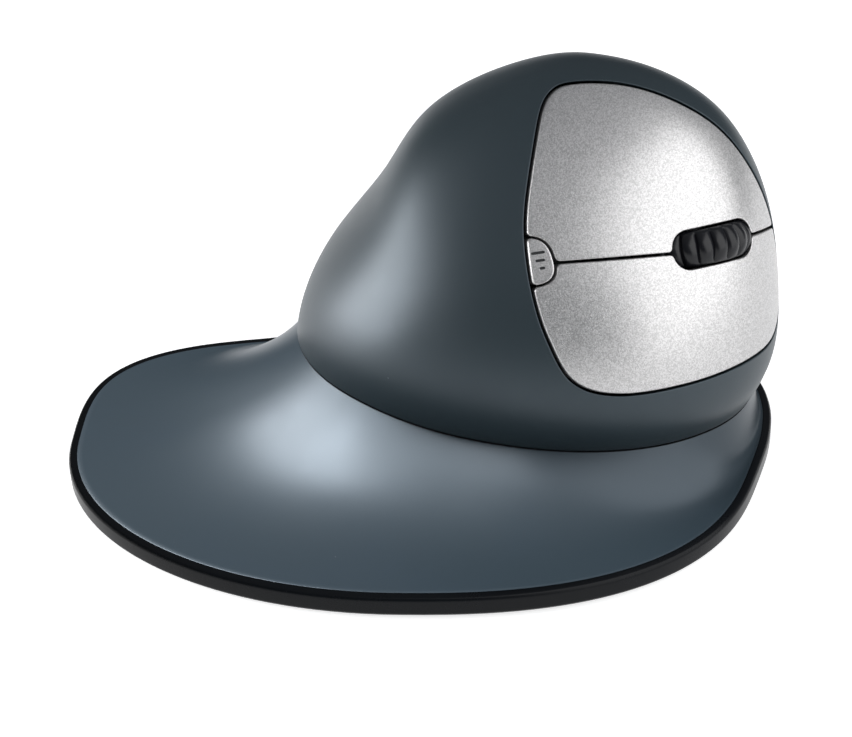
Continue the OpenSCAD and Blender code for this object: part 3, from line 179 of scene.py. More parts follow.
def plane_grid(low: Sequence[float], high: Sequence[float], step: float) -> Array:
    """Places in the plane at even steps, by column and row."""
    xs, ys = np.arange(low[0], high[0], step), np.arange(low[1], high[1], step)
    return np.stack(np.meshgrid(xs, ys, indexing="ij"), axis=-1)


def anticlockwise(loop: Array) -> Array:
    """A loop in the plane, turned round if it runs clockwise."""
    nxt = np.roll(loop, -1, axis=0)
    area = (loop[:, 0] * nxt[:, 1] - loop[:, 1] * nxt[:, 0]).sum()
    return loop if area > 0 else loop[::-1]


def chains(sides: Iterable[tuple[Hashable, Hashable]]) -> list[list]:
    """Chains sides, each a pair of ends, into closed loops of ends."""
    links: dict[Hashable, list] = {}
    for a, b in sides:
        links.setdefault(a, []).append(b)
        links.setdefault(b, []).append(a)
    waiting, loops = set(links), []
    while waiting:
        walk = [waiting.pop()]
        while onward := [end for end in links[walk[-1]] if end in waiting]:
            waiting.discard(onward[0])
            walk.append(onward[0])
        loops.append(walk)
    return loops


def halving(near: Array, far: Array, past: Callable[[Array], Array]) -> Array:
    """Values where a test turns true, found by halving.

    Args:
        near: Values for which the test is false.
        far: Values for which it is true.
        past: The test.

    Returns:
        The last values before it turns true.
    """
    for _ in range(40):
        mid = (near + far) / 2
        over = past(mid)
        near, far = np.where(over, near, mid), np.where(over, mid, far)
    return near


def edge_loop(field_of: Field, low: Sequence[float], high: Sequence[float], spacing: float) -> Array:
    """Longest closed edge of a field's inside, evenly spaced and anticlockwise.

    Args:
        field_of: Signed distance in the plane, negative inside.
        low: Lowest corner of the part of the plane to search.
        high: Highest corner of it.
        spacing: Distance between the points of the edge.

    Returns:
        The edge's points.
    """
    search_step, least_slope = 0.45, 0.25
    grid = plane_grid(low, high, search_step)
    value = field_of(grid.reshape(-1, 2)).reshape(grid.shape[:2])
    sign = value < 0
    corners = np.stack([sign[:-1, :-1], sign[1:, :-1], sign[:-1, 1:], sign[1:, 1:]])
    crossed: list[tuple[Hashable, Hashable]] = []
    for i, j in np.argwhere(corners.any(axis=0) & ~corners.all(axis=0)).tolist():
        sides = [
            (i, j, 0) if sign[i, j] != sign[i + 1, j] else None,
            (i + 1, j, 1) if sign[i + 1, j] != sign[i + 1, j + 1] else None,
            (i, j + 1, 0) if sign[i, j + 1] != sign[i + 1, j + 1] else None,
            (i, j, 1) if sign[i, j] != sign[i, j + 1] else None,
        ]
        found = [side for side in sides if side]
        crossed += zip(found[0::2], found[1::2])

    def crossing(i: int, j: int, way: int) -> Array:
        """The place on a grid side where the field is zero."""
        end = (i + 1, j) if way == 0 else (i, j + 1)
        share = value[i, j] / (value[i, j] - value[end])
        return grid[i, j] + (grid[end] - grid[i, j]) * share

    loop = np.array([crossing(*side) for side in max(chains(crossed), key=len)])
    for _ in range(3):
        loop = even_loop(loop, spacing)
        for _ in range(3):
            slope = slopes(field_of, loop)
            steep = np.maximum((slope**2).sum(axis=1), least_slope)
            loop = loop - (field_of(loop) / steep)[:, None] * slope
    return anticlockwise(loop)


def even_loop(loop: Array, spacing: float) -> Array:
    """A closed loop with its points moved to even distances along it."""
    around = np.vstack([loop, loop[:1]])
    along = np.concatenate([[0], np.cumsum(np.linalg.norm(np.diff(around, axis=0), axis=1))])
    count = max(12, int(round(along[-1] / spacing)))
    at = np.linspace(0, along[-1], count, endpoint=False)
    return np.stack([np.interp(at, along, around[:, k]) for k in range(loop.shape[1])], axis=1)


def outward(loop: Array) -> Array:
    """Outward directions along an anticlockwise loop in the plane."""
    run = np.roll(loop, -1, axis=0) - np.roll(loop, 1, axis=0)
    return unit(np.stack([run[:, 1], -run[:, 0]], axis=1))


# Smooth forms shared by the pieces


@dataclass(frozen=True)
class HumpForm:
    """The leaning hump's skin, worked out in its own frame in millimetres."""

    length: float = 92.0
    width: float = 62.0
    height: float = 72.0
    turn: float = 14.0
    lean: float = 10.5
    forward: float = 9.0
    seam: float = 12.0
    square: float = 2.2
    lean_curve: float = 1.6
    place: tuple[float, float] = (-14.8797, 19.9162)
    lift: float = 4.6
    sill: float = 2.4
    lift_turns: tuple[float, float, float, float] = (246.0, 292.0, 326.0, 372.0)
    sill_curve: tuple[float, float, float] = (1.3, 10.0, 0.1)
    sections: tuple[tuple[float, ...], ...] = (
        (0.00, 0.91, 0.86, 0.945, 0.99),
        (0.13, 1.08, 0.85, 1.005, 0.965),
        (0.33, 1.13, 0.75, 0.985, 0.885),
        (0.57, 1.00, 0.68, 0.885, 0.715),
        (0.77, 0.75, 0.55, 0.72, 0.60),
        (0.92, 0.45, 0.36, 0.46, 0.34),
        (1.00, 0.00, 0.00, 0.00, 0.00),
    )

    @property
    def top(self) -> int:
        """Number of the section at the crest."""
        return len(self.sections) - 1

    @cached_property
    def bends(self) -> Array:
        """Second differences of the smooth curve through the sections."""
        rows, last = np.array(self.sections), self.top
        bends = np.zeros_like(rows)
        for column in range(rows.shape[1]):
            y = rows[:, column]
            left, right = np.zeros((last + 1, last + 1)), np.zeros(last + 1)
            left[0, :2] = 2, 1
            for k in range(1, last):
                left[k, k - 1 : k + 2] = 1, 4, 1
                right[k] = 6 * (y[k + 1] - 2 * y[k] + y[k - 1])
            if column == 0:
                left[last, last - 1 :] = 1, 2
                right[last] = -6 * (y[last] - y[last - 1])
            else:
                left[last, last] = 1
            bends[:, column] = np.linalg.solve(left, right)
        return bends

    def section(self, t: Array) -> Array:
        """Rise and reaches at section numbers t."""
        rows = np.array(self.sections)
        k = np.clip(np.floor(t).astype(int), 0, self.top - 1)
        u = (t - k)[..., None]
        straight = rows[k] * (1 - u) + rows[k + 1] * u
        return straight + ((1 - u) ** 3 - (1 - u)) / 6 * self.bends[k] + (u**3 - u) / 6 * self.bends[k + 1]

    def points(self, turn: Array, t: Array) -> Array:
        """Places on the skin, in the hump's frame.

        Args:
            turn: Turns from the finger side, in degrees.
            t: Section numbers.

        Returns:
            The places.
        """
        s = self.section(t)
        lean = np.maximum(s[..., 0], 0) ** self.lean_curve
        c, d = np.cos(np.radians(turn)), np.sin(np.radians(turn))
        across = np.where(c > 0, s[..., 1], s[..., 2]) * self.width / 2
        along = np.where(d > 0, s[..., 3], s[..., 4]) * self.length / 2
        return np.stack(
            [
                -self.lean * lean + across * rounded(c, self.square),
                self.forward * lean + along * rounded(d, self.square),
                self.seam + (self.height - self.seam) * s[..., 0],
            ],
            axis=-1,
        )

    def normals(self, turn: Array, t: Array) -> Array:
        """Outward directions of the skin, in the hump's frame."""
        swing, step = 0.6, 0.01
        around = self.points(turn + swing, t) - self.points(turn - swing, t)
        upward = self.points(turn, t + step) - self.points(turn, t - step)
        return unit(np.cross(around, upward))

    def seam_section(self, turn: Array) -> Array:
        """Sections at which the seam runs: a sill on the finger side, and a rise behind the heel.

        Args:
            turn: Turns from the finger side, in degrees.

        Returns:
            The section numbers.
        """
        start, high, fall, end = self.lift_turns
        b = np.where(turn < start, turn + 360, turn)
        up, down = np.clip((b - start) / (high - start), 0, 1), np.clip((end - b) / (end - fall), 0, 1)
        climb = self.lift * up**2 * (3 - 2 * up) * down**2 * (3 - 2 * down)
        steep, middle, spare = self.sill_curve
        sill = self.sill * np.clip(steep * np.cos(np.radians(turn - middle)) + spare, 0, 1)
        rise = np.hypot(climb, sill) / (self.height - self.seam)
        below, above = np.zeros(len(turn)), np.full(len(turn), 2.0)
        found = halving(below, above, lambda mid: self.section(mid)[..., 0] > rise)
        return np.where(rise > 0, found, 0.0)

    def spin(self, v: Array) -> Array:
        """Directions of the hump's frame in the frame of the whole mouse."""
        c, s = math.cos(math.radians(self.turn)), math.sin(math.radians(self.turn))
        return np.stack([v[..., 0] * c + v[..., 1] * s, v[..., 1] * c - v[..., 0] * s, v[..., 2]], axis=-1)

    def seat(self, p: Array) -> Array:
        """Places of the hump's frame in the frame of the whole mouse."""
        return self.spin(p) + np.array([*self.place, 0.0])


class Patch(Protocol):
    """A stretch of the hump's skin laid out flat, for cutting plates and openings from it."""

    def lift(self, flat: Array) -> tuple[Array, Array]:
        """Places and directions of the skin over flat places."""

    def inwards(self, normals: Array) -> Array:
        """Directions in which a wall goes in from the skin."""


@dataclass(frozen=True)
class KeyPatch:
    """A stretch of skin seen straight on: by default the finger keys', square on to the scroll wheel."""

    hump: HumpForm
    at: tuple[float, float, float] = (10.1111, 37.6945, 51.3168)
    turn: float = 49.0
    tilt: float = 30.0
    roll: float = 8.0
    turns: tuple[float, float, int] = (-60, 170, 150)
    rises: tuple[float, float, int] = (0.1, 5.94, 110)

    @cached_property
    def axes(self) -> Array:
        """The patch's directions towards the nose, up the hump and outwards, in the hump's frame."""
        turn, tilt, roll = (math.radians(x) for x in (self.turn, self.tilt, self.roll))
        out = np.array([math.cos(tilt) * math.cos(turn), math.cos(tilt) * math.sin(turn), math.sin(tilt)])
        level = np.array([-math.sin(turn), math.cos(turn), 0.0])
        rise = np.cross(out, level)
        c, s = math.cos(roll), math.sin(roll)
        return np.array([c * level - s * rise, s * level + c * rise, out])

    def flatten(self, points: Array) -> Array:
        """Places of the hump's frame as distances along the patch's three directions."""
        return (points - np.array(self.at)) @ self.axes.T

    @cached_property
    def table(self) -> tuple[Array, Array]:
        """Turns and sections of the facing skin, and where they lie in the patch."""
        mesh = np.meshgrid(np.linspace(*self.turns), np.linspace(*self.rises), indexing="ij")
        turn, t = (side.ravel() for side in mesh)
        facing = self.hump.normals(turn, t) @ self.axes[2] > 0.05
        pairs = np.stack([turn, t], axis=1)[facing]
        return pairs, self.flatten(self.hump.points(pairs[:, 0], pairs[:, 1]))[:, :2]

    def settle(self, flat: Array) -> Array:
        """Turns and sections of the skin over flat places, found by stepping nearer."""
        pairs, lies = self.table
        swing, step, longest, least, batch = 0.02, 0.001, np.array([3.0, 0.12]), 1e-6, CHUNK // 4
        found = np.empty((len(flat), 2))
        for first in range(0, len(flat), batch):
            gap = ((flat[first : first + batch, None] - lies) ** 2).sum(axis=2)
            found[first : first + batch] = pairs[gap.argmin(axis=1)]

        def miss(q: Array) -> Array:
            """How far the skin at turns and sections lies from the flat places."""
            return self.flatten(self.hump.points(q[:, 0], q[:, 1]))[:, :2] - flat

        for _ in range(14):
            here = miss(found)
            by_turn = (miss(found + [swing, 0]) - miss(found - [swing, 0])) / (2 * swing)
            by_rise = (miss(found + [0, step]) - miss(found - [0, step])) / (2 * step)
            det = by_turn[:, 0] * by_rise[:, 1] - by_turn[:, 1] * by_rise[:, 0]
            det = np.where(np.abs(det) < least, least, det)
            in_turn = (by_rise[:, 0] * here[:, 1] - by_rise[:, 1] * here[:, 0]) / det
            in_rise = (by_turn[:, 1] * here[:, 0] - by_turn[:, 0] * here[:, 1]) / det
            found = found + np.clip(np.stack([in_turn, in_rise], axis=1), -longest, longest)
            found[:, 1] = np.clip(found[:, 1], 0.02, 5.985)
        return found

    def lift(self, flat: Array) -> tuple[Array, Array]:
        """Places and directions of the skin over flat places."""
        q = self.settle(flat)
        return self.hump.points(q[:, 0], q[:, 1]), self.hump.normals(q[:, 0], q[:, 1])

    def inwards(self, normals: Array) -> Array:
        """Walls go straight in from the wheel's side, so that a key can be pressed between them."""
        return np.broadcast_to(-self.axes[2], normals.shape)


@dataclass(frozen=True)
class ThumbPatch:
    """The thumb keys' stretch of skin, laid out along turns and sections."""

    hump: HumpForm
    turn: float = 172.0
    section: float = 2.35
    turn_speed: float = 0.83033
    rise_speed: float = 14.9104

    def unroll(self, turn: Array, t: Array) -> Array:
        """Flat places of turns and sections."""
        return np.stack([(turn - self.turn) * self.turn_speed, (t - self.section) * self.rise_speed], axis=-1)

    def lift(self, flat: Array) -> tuple[Array, Array]:
        """Places and directions of the skin over flat places."""
        turn, t = self.turn + flat[:, 0] / self.turn_speed, self.section + flat[:, 1] / self.rise_speed
        return self.hump.points(turn, t), self.hump.normals(turn, t)

    def inwards(self, normals: Array) -> Array:
        """Walls go in square to the skin."""
        return -normals


class Part(Enum):
    """Which finish of a piece a face takes."""

    FACE = 0
    # EDGE takes a piece's second finish: bare black walls and undersides, also painted shade in the gaps and
    # the seam.
    EDGE = 1


@dataclass
class Skin:
    """Points, directions and faces gathered for one smooth piece, in the hump's frame."""

    points: list[Array] = field(default_factory=list)
    normals: list[Array] = field(default_factory=list)
    faces: list[tuple[int, ...]] = field(default_factory=list)
    parts: list[int] = field(default_factory=list)
    count: int = 0

    def add(self, points: Array, normals: Array) -> Array:
        """Adds points with their directions and returns their numbers."""
        first, self.count = self.count, self.count + len(points)
        self.points.append(np.asarray(points, float))
        self.normals.append(np.asarray(normals, float))
        return np.arange(first, self.count)

    def cover(self, faces: Sequence[Sequence[int]], part: Part = Part.FACE) -> None:
        """Adds faces between numbered points."""
        self.faces.extend(tuple(int(i) for i in f) for f in faces)
        self.parts.extend([part.value] * len(faces))

    def band(self, one: Array, two: Array, part: Part = Part.FACE) -> None:
        """Adds a closed band of faces between two loops of as many points."""
        self.cover(np.stack([one, np.roll(one, -1), np.roll(two, -1), two], axis=1), part)

    def rolled_edge(
        self, near: Array, brink: Array, low: Array, up: Array, side: Array, steps: int = 5
    ) -> list[Array]:
        """Adds a strip that rolls over an edge.

        Args:
            near: Loop on the skin where the edge starts to roll.
            brink: Loop where skin and wall would meet in a sharp edge.
            low: Loop on the wall where the edge ends.
            up: Directions of the skin along the loop.
            side: Directions of the wall along the loop.
            steps: Rows after the first.

        Returns:
            The numbers of each row's points.
        """
        rows = []
        for k in range(steps + 1):
            f = k / steps
            place = (1 - f) ** 2 * near + 2 * f * (1 - f) * brink + f**2 * low
            rows.append(self.add(place, unit((1 - f) * up + f * side)))
            if k:
                self.band(rows[k - 1], rows[k])
        return rows

    def piece(self, name: str, hump: HumpForm) -> Piece:
        """Makes the gathered faces a mesh object at the origin, its smooth directions kept.

        Args:
            name: The piece's name.
            hump: The hump, whose frame the points are in.

        Returns:
            The object.
        """
        points = np.clip(hump.seat(np.vstack(self.points)) * MM, *CAD_BOX)
        normals = hump.spin(np.vstack(self.normals))
        faces = []
        for f in self.faces:
            a, b, c = points[f[0]], points[f[1]], points[f[2]]
            d = points[f[3]] if len(f) == 4 else a
            facing = np.cross(c - a, d - b) if len(f) == 4 else np.cross(b - a, c - a)
            faces.append(f if facing @ normals[list(f)].sum(axis=0) >= 0 else f[::-1])
        mesh = bpy.data.meshes.new(name)
        mesh.from_pydata(points.tolist(), [], faces)
        mesh.polygons.foreach_set("use_smooth", np.ones(len(faces), bool))
        mesh.polygons.foreach_set("material_index", np.array(self.parts, np.int32))
        mesh.update()
        corners = np.concatenate([normals[list(p.vertices)] for p in mesh.polygons])
        mesh.normals_split_custom_set(corners.tolist())
        obj = bpy.data.objects.new(name, mesh)
        bpy.context.scene.collection.objects.link(obj)
        return obj


def fill_flat(loops: Sequence[Array], loose: Array) -> Array:
    """Triangles of the plane between closed loops and loose points.

    Args:
        loops: Closed loops, the outermost first.
        loose: Further points inside.

    Returns:
        Triples of numbers, counted through the loops and then the loose points.
    """
    places = np.vstack([*loops, loose])
    sides, first = [], 0
    for loop in loops:
        n = len(loop)
        sides += [(first + k, first + (k + 1) % n) for k in range(n)]
        first += n
    made = delaunay_2d_cdt([Vector(p) for p in places], sides, [], 1, 1e-7)
    source = [o[0] if o else -1 for o in made[3]]
    faces = np.array([[source[i] for i in f] for f in made[2] if len(f) == 3])
    faces = faces[(faces >= 0).all(axis=1)]
    for inner in loops[1:]:
        faces = faces[~inside_loop(places[faces].mean(axis=1), inner)]
    return faces


@dataclass
class Plate:
    """A curved plate cut from a patch of the hump's skin, with rolled edges and a dark wall: bare black
    plastic, whose black also paints the shade in the gap round it.
    """

    patch: Patch
    shape: Field
    low: tuple[float, float]
    high: tuple[float, float]
    wall: float = 2.0
    roll: float = 0.35
    spacing: float = 0.22
    grid: float = 0.75
    proud: float = 0.0

    def cut(self, skin: Skin) -> None:
        """Adds the plate's face, edge, wall and underside to a skin."""
        loop = edge_loop(self.shape, self.low, self.high, self.spacing)
        near_flat = loop - self.roll * outward(loop)
        inner = plane_grid(self.low, self.high, self.grid).reshape(-1, 2)
        inner = inner[self.shape(inner) < -self.roll - 0.55 * self.grid]
        faces = fill_flat([near_flat], inner)
        near, up = self.patch.lift(near_flat)
        brink, brink_up = self.patch.lift(loop)
        middle, middle_up = self.patch.lift(inner) if len(inner) else (np.zeros((0, 3)), np.zeros((0, 3)))
        way = self.patch.inwards(brink_up)
        run = np.roll(brink, -1, axis=0) - np.roll(brink, 1, axis=0)
        side = unit(np.cross(run, -way))
        sharp = brink + self.proud * brink_up
        rows = skin.rolled_edge(near + self.proud * up, sharp, sharp + self.roll * way, up, side)
        core = skin.add(middle + self.proud * middle_up, middle_up)
        skin.cover(np.concatenate([rows[0], core])[faces])
        # The wall and underside take the black second finish: partly bare plastic, partly painted shade in
        # the gap.
        foot = skin.add(brink + self.wall * way, unit(side + way))
        skin.band(rows[-1], foot, Part.EDGE)
        below = skin.add(middle + self.wall * self.patch.inwards(middle_up), -middle_up)
        skin.cover(np.concatenate([foot, below])[faces], Part.EDGE)


# Finishes


def srgb(r: float, g: float, b: float) -> tuple[float, float, float, float]:
    """A colour as Blender stores it, from its values on screen between 0 and 255."""
    shares = (r / 255, g / 255, b / 255)
    linear = [c / 12.92 if c <= 0.04045 else ((c + 0.055) / 1.055) ** 2.4 for c in shares]
    return (*linear, 1.0)


class Bench:
    """A node tree with short calls to place nodes and join them."""

    def __init__(self, tree: bpy.types.NodeTree) -> None:
        """Keeps the tree that the nodes go into."""
        self.tree = tree

    def add(self, kind: str, settings: dict | None = None, **inputs: object) -> bpy.types.Node:
        """Places a node.

        Args:
            kind: Blender's name of the node's type.
            settings: Properties of the node.
            **inputs: Values or sockets for its inputs, with _ for a blank in their names.

        Returns:
            The node.
        """
        made = self.tree.nodes.new(kind)
        for name, value in (settings or {}).items():
            setattr(made, name, value)
        for name, value in inputs.items():
            self.feed(made.inputs[name.replace("_", " ")], value)
        return made

    def feed(self, socket: Socket, value: object) -> None:
        """Joins a socket to an input, or sets its value."""
        if isinstance(value, Socket):
            self.tree.links.new(value, socket)
        else:
            socket.default_value = value

    def noise(self, vector: object, scale: object, **inputs: float) -> Socket:
        """A cloudy value that changes over the surface."""
        return self.add("ShaderNodeTexNoise", None, Vector=vector, Scale=scale, **inputs).outputs[0]

    def sum(self, kind: str, a: object, b: object, clamp: bool = False) -> Socket:
        """The outcome of a sum of two values."""
        made = self.add("ShaderNodeMath", {"operation": kind, "use_clamp": clamp})
        self.feed(made.inputs[0], a)
        self.feed(made.inputs[1], b)
        return made.outputs[0]

    def span(self, value: object, low: float, high: float, to_low: float, to_high: float) -> Socket:
        """A value spread from one range to another and held inside it."""
        made = self.add("ShaderNodeMapRange", None, Value=value)
        for socket, number in zip(made.inputs[1:5], (low, high, to_low, to_high)):
            socket.default_value = number
        return made.outputs[0]

    def tint(self, share: object, a: object, b: object) -> Socket:
        """A colour between two."""
        made = self.add("ShaderNodeMix", {"data_type": "RGBA"})
        self.feed(made.inputs[0], share)
        self.feed(made.inputs[6], a)
        self.feed(made.inputs[7], b)
        return made.outputs[2]


class Effect(Enum):
    """The surface effects that finishes share, each one node group."""

    GRAIN = "moulded_grain"
    WEAR = "hand_wear"
    DUST = "dust_specks"
    FLAKE = "paint_flake"
    BRUSH = "brushed_lines"

    def group(self) -> bpy.types.NodeTree:
        """The effect's node group, built at its first use."""
        return bpy.data.node_groups.get(self.value) or self._build()

    def _build(self) -> bpy.types.NodeTree:
        """Builds the effect's node group."""
        tree = bpy.data.node_groups.new(self.value, "ShaderNodeTree")
        for name, end, kind in (
            ("Vector", "INPUT", "Vector"), ("Scale", "INPUT", "Float"),
            ("Mask", "OUTPUT", "Float"), ("Height", "OUTPUT", "Float"),
        ):
            tree.interface.new_socket(name=name, in_out=end, socket_type=f"NodeSocket{kind}")
        bench = Bench(tree)
        given, out = bench.add("NodeGroupInput"), bench.add("NodeGroupOutput")
        vector, scale = given.outputs["Vector"], given.outputs["Scale"]
        mask, height = getattr(self, "_" + self.name.lower())(bench, vector, scale)
        bench.feed(out.inputs["Mask"], mask)
        bench.feed(out.inputs["Height"], height)
        return tree

    def _grain(self, bench: Bench, vector: object, scale: object) -> tuple[object, object]:
        """Fine pebbling of a moulded or rubbery skin."""
        fine = bench.noise(vector, scale, Detail=2.0)
        broad = bench.noise(vector, bench.sum("MULTIPLY", scale, 0.23), Detail=1.0)
        pebbles = bench.sum("ADD", bench.sum("MULTIPLY", fine, 0.7), bench.sum("MULTIPLY", broad, 0.3))
        return fine, pebbles

    def _wear(self, bench: Bench, vector: object, scale: object) -> tuple[object, object]:
        """Soft smudges where hands rub, and fine rubs inside them."""
        broad = bench.noise(vector, scale, Detail=4.0, Roughness=0.55, Distortion=0.6)
        fine = bench.noise(vector, bench.sum("MULTIPLY", scale, 9.0), Detail=3.0)
        smudge = bench.span(broad, 0.42, 0.68, 0.0, 1.0)
        rub = bench.span(fine, 0.35, 0.7, 0.55, 1.0)
        return bench.sum("MULTIPLY", smudge, rub), fine

    def _dust(self, bench: Bench, vector: object, scale: object) -> tuple[object, object]:
        """Sparse pale specks of dust."""
        coarse = bench.sum("MULTIPLY", scale, 0.45)
        drift = bench.add("ShaderNodeTexNoise", None, Vector=vector, Scale=coarse, Detail=2.0)
        moved = bench.add("ShaderNodeVectorMath", {"operation": "MULTIPLY_ADD"})
        for socket, value in zip(moved.inputs, (drift.outputs[1], (0.012, 0.012, 0.012), vector)):
            bench.feed(socket, value)
        cells = bench.add("ShaderNodeTexVoronoi", None, Vector=moved.outputs[0], Scale=scale, Randomness=1.0)
        chance = bench.add("ShaderNodeSeparateColor", None, Color=cells.outputs["Color"])
        chosen = bench.span(chance.outputs[0], 0.955, 0.97, 0.0, 1.0)
        reach = bench.span(chance.outputs[1], 0.0, 1.0, 0.03, 0.09)
        speck = bench.span(bench.sum("DIVIDE", cells.outputs["Distance"], reach), 0.5, 1.0, 1.0, 0.0)
        mask = bench.sum("MULTIPLY", chosen, speck)
        return mask, mask

    def _flake(self, bench: Bench, vector: object, scale: object) -> tuple[object, object]:
        """Metal flakes in a paint, each a little lighter or darker."""
        cells = bench.add("ShaderNodeTexVoronoi", None, Vector=vector, Scale=scale, Randomness=1.0)
        shade = bench.add("ShaderNodeSeparateColor", None, Color=cells.outputs["Color"])
        cloud = bench.noise(vector, bench.sum("MULTIPLY", scale, 0.35), Detail=2.0)
        flakes = bench.sum("MULTIPLY", shade.outputs[0], 0.85)
        mask = bench.sum("ADD", flakes, bench.sum("MULTIPLY", cloud, 0.15))
        return mask, shade.outputs[1]

    def _brush(self, bench: Bench, vector: object, scale: object) -> tuple[object, object]:
        """Fine lines of brushed or drawn metal, along Z."""
        squeeze = bench.add("ShaderNodeVectorMath", {"operation": "MULTIPLY"})
        bench.feed(squeeze.inputs[0], vector)
        bench.feed(squeeze.inputs[1], (1.0, 1.0, 0.06))
        lines = bench.noise(squeeze.outputs[0], scale, Detail=3.0)
        return lines, lines


DUST_SPACING = 2.6
DUST_TONE = (150, 155, 158)


@dataclass(frozen=True)
class Finish:
    """A surface with two close tones, an even gloss broken by wear, a grain and a little dust."""

    name: str
    tone: Colour
    worn: Colour
    roughness: float = 0.45
    swing: float = 0.1
    effect: Effect = Effect.GRAIN
    grain: float = 0.25
    depth: float = 0.012
    metallic: float = 0.0
    specular: float = 0.5
    gloss_tint: Colour = (1.0, 1.0, 1.0)
    wear: float = 26.0
    dust: float = 0.0
    clear: float = 0.0

    def make(self) -> bpy.types.Material:
        """The finish as a material, built at its first use."""
        found = bpy.data.materials.get(self.name)
        if found:
            return found
        material = bpy.data.materials.new(self.name)
        material.use_nodes = True
        bench = Bench(material.node_tree)
        shader = next(n for n in material.node_tree.nodes if n.type == "BSDF_PRINCIPLED")
        place = bench.add("ShaderNodeTexCoord").outputs["Object"]
        rubbed = self._effect(bench, Effect.WEAR, place, 1.0 / (self.wear * MM))
        surface = self._effect(bench, self.effect, place, 1.0 / (self.grain * MM))
        bench.feed(shader.inputs["Base Color"], self.colour(bench, rubbed, surface, place))
        worn = bench.span(rubbed.outputs["Mask"], 0, 1, self.roughness, self.roughness - self.swing)
        ripple = bench.span(surface.outputs["Mask"], 0.2, 0.8, -0.02, 0.02)
        bench.feed(shader.inputs["Roughness"], bench.sum("ADD", worn, ripple))
        height = surface.outputs["Height"]
        bump = bench.add("ShaderNodeBump", None, Strength=1.0, Distance=self.depth * MM, Height=height)
        bench.feed(shader.inputs["Normal"], bump.outputs[0])
        for socket, value in {
            "Metallic": self.metallic,
            "Specular IOR Level": self.specular,
            "Specular Tint": (*self.gloss_tint, 1.0),
            "Transmission Weight": self.clear,
        }.items():
            shader.inputs[socket].default_value = value
        return material

    def _effect(self, bench: Bench, effect: Effect, place: object, scale: float) -> bpy.types.Node:
        """Places a shared effect in the material."""
        made = bench.add("ShaderNodeGroup", {"node_tree": effect.group()})
        bench.feed(made.inputs["Vector"], place)
        bench.feed(made.inputs["Scale"], scale)
        return made

    def colour(self, bench: Bench, rubbed: bpy.types.Node, surface: bpy.types.Node, place: object) -> object:
        """The tones, mixed by wear and grain, with specks of dust over them."""
        smudges = bench.sum("MULTIPLY", rubbed.outputs["Mask"], 0.7)
        share = bench.sum("ADD", smudges, bench.span(surface.outputs["Mask"], 0.3, 0.7, -0.15, 0.15), True)
        shade = bench.tint(share, srgb(*self.tone), srgb(*self.worn))
        if self.dust > 0:
            specks = self._effect(bench, Effect.DUST, place, 1.0 / (DUST_SPACING * MM))
            cover = bench.sum("MULTIPLY", specks.outputs["Mask"], self.dust)
            shade = bench.tint(cover, shade, srgb(*DUST_TONE))
        return shade


@dataclass(frozen=True)
class BoardFinish(Finish):
    """A circuit board's lacquer over its copper tracks."""

    def colour(self, bench: Bench, rubbed: bpy.types.Node, surface: bpy.types.Node, place: object) -> object:
        """The lacquer's tone, paler over the tracks."""
        tracks = bench.add("ShaderNodeTexVoronoi", {"distance": "MANHATTAN"}, Vector=place, Scale=520.0)
        copper = bench.span(tracks.outputs["Distance"], 0.32, 0.38, 0.0, 1.0)
        return bench.tint(copper, srgb(*self.tone), srgb(*self.worn))


@dataclass(frozen=True)
class FlakeFinish(Finish):
    """A metallic paint, each flake of it a little lighter or darker."""

    def colour(self, bench: Bench, rubbed: bpy.types.Node, surface: bpy.types.Node, place: object) -> object:
        """The flakes' tones."""
        share = bench.span(surface.outputs["Mask"], 0.2, 0.8, 0.0, 1.0)
        return bench.tint(share, srgb(*self.tone), srgb(*self.worn))


COOL_GLOSS = (0.78, 0.89, 1.0)
SLATE = Finish(
    "slate_soft_touch", (28, 37, 41), (32, 42, 46), 0.43, 0.05, depth=0.010, grain=0.22, specular=0.6,
    gloss_tint=COOL_GLOSS, dust=0.25,
)
REST = Finish(
    "rest_soft_touch", (31, 40, 46), (35, 44, 51), 0.34, 0.04, depth=0.008, grain=0.22, specular=0.55,
    gloss_tint=COOL_GLOSS, dust=0.25,
)
SILVER = FlakeFinish(
    "silver_key_paint", (169, 168, 168), (199, 198, 198), 0.38, 0.03, Effect.FLAKE, grain=0.2, metallic=0.8
)
# Bare black plastic on walls, linings and undersides, kept black also as painted shade in the gaps round the
# keys and in the seam under the hump.
BLACK_AND_GAP_SHADE = Finish("black_wall_and_painted_gap_shade", (20, 22, 24), (24, 26, 28), 0.6, 0.05)
RIM = Finish("rim_gloss_black", (11, 13, 16), (14, 17, 20), 0.30, 0.08, depth=0.004, grain=0.3, specular=0.12)
BASE = Finish("base_plate_black", (26, 29, 32), (32, 35, 38), 0.55, 0.08, depth=0.03, grain=0.35)
FEET = Finish("glide_foot_slick", (44, 47, 50), (58, 61, 64), 0.3, 0.12, depth=0.004, wear=9.0)
TYRE = Finish(
    "wheel_rubber", (11, 12, 16), (15, 16, 21), 0.30, 0.05, depth=0.005, grain=0.2, specular=0.3, dust=0.1
)
HUB = Finish("wheel_hub_satin", (40, 42, 45), (47, 49, 52), 0.38, 0.06)
MECHANISM = Finish("mechanism_moulded", (46, 49, 53), (54, 57, 61), 0.5, 0.08, depth=0.02, grain=0.4)
ENCODER = Finish("encoder_moulded", (74, 90, 72), (84, 100, 82), 0.45, 0.08)
SWITCH = Finish("switch_moulded", (36, 38, 41), (45, 47, 50), 0.45, 0.08)
PLUNGER = Finish("plunger_red", (194, 59, 52), (206, 76, 66), 0.32, 0.05)
TACT = Finish("tact_case", (74, 77, 80), (86, 89, 92), 0.42, 0.08)
CREAM = Finish("tact_stem_cream", (216, 212, 200), (206, 202, 188), 0.38, 0.05)
BOARD = BoardFinish("board_lacquer", (22, 27, 26), (32, 40, 37), 0.45, 0.05, depth=0.01)
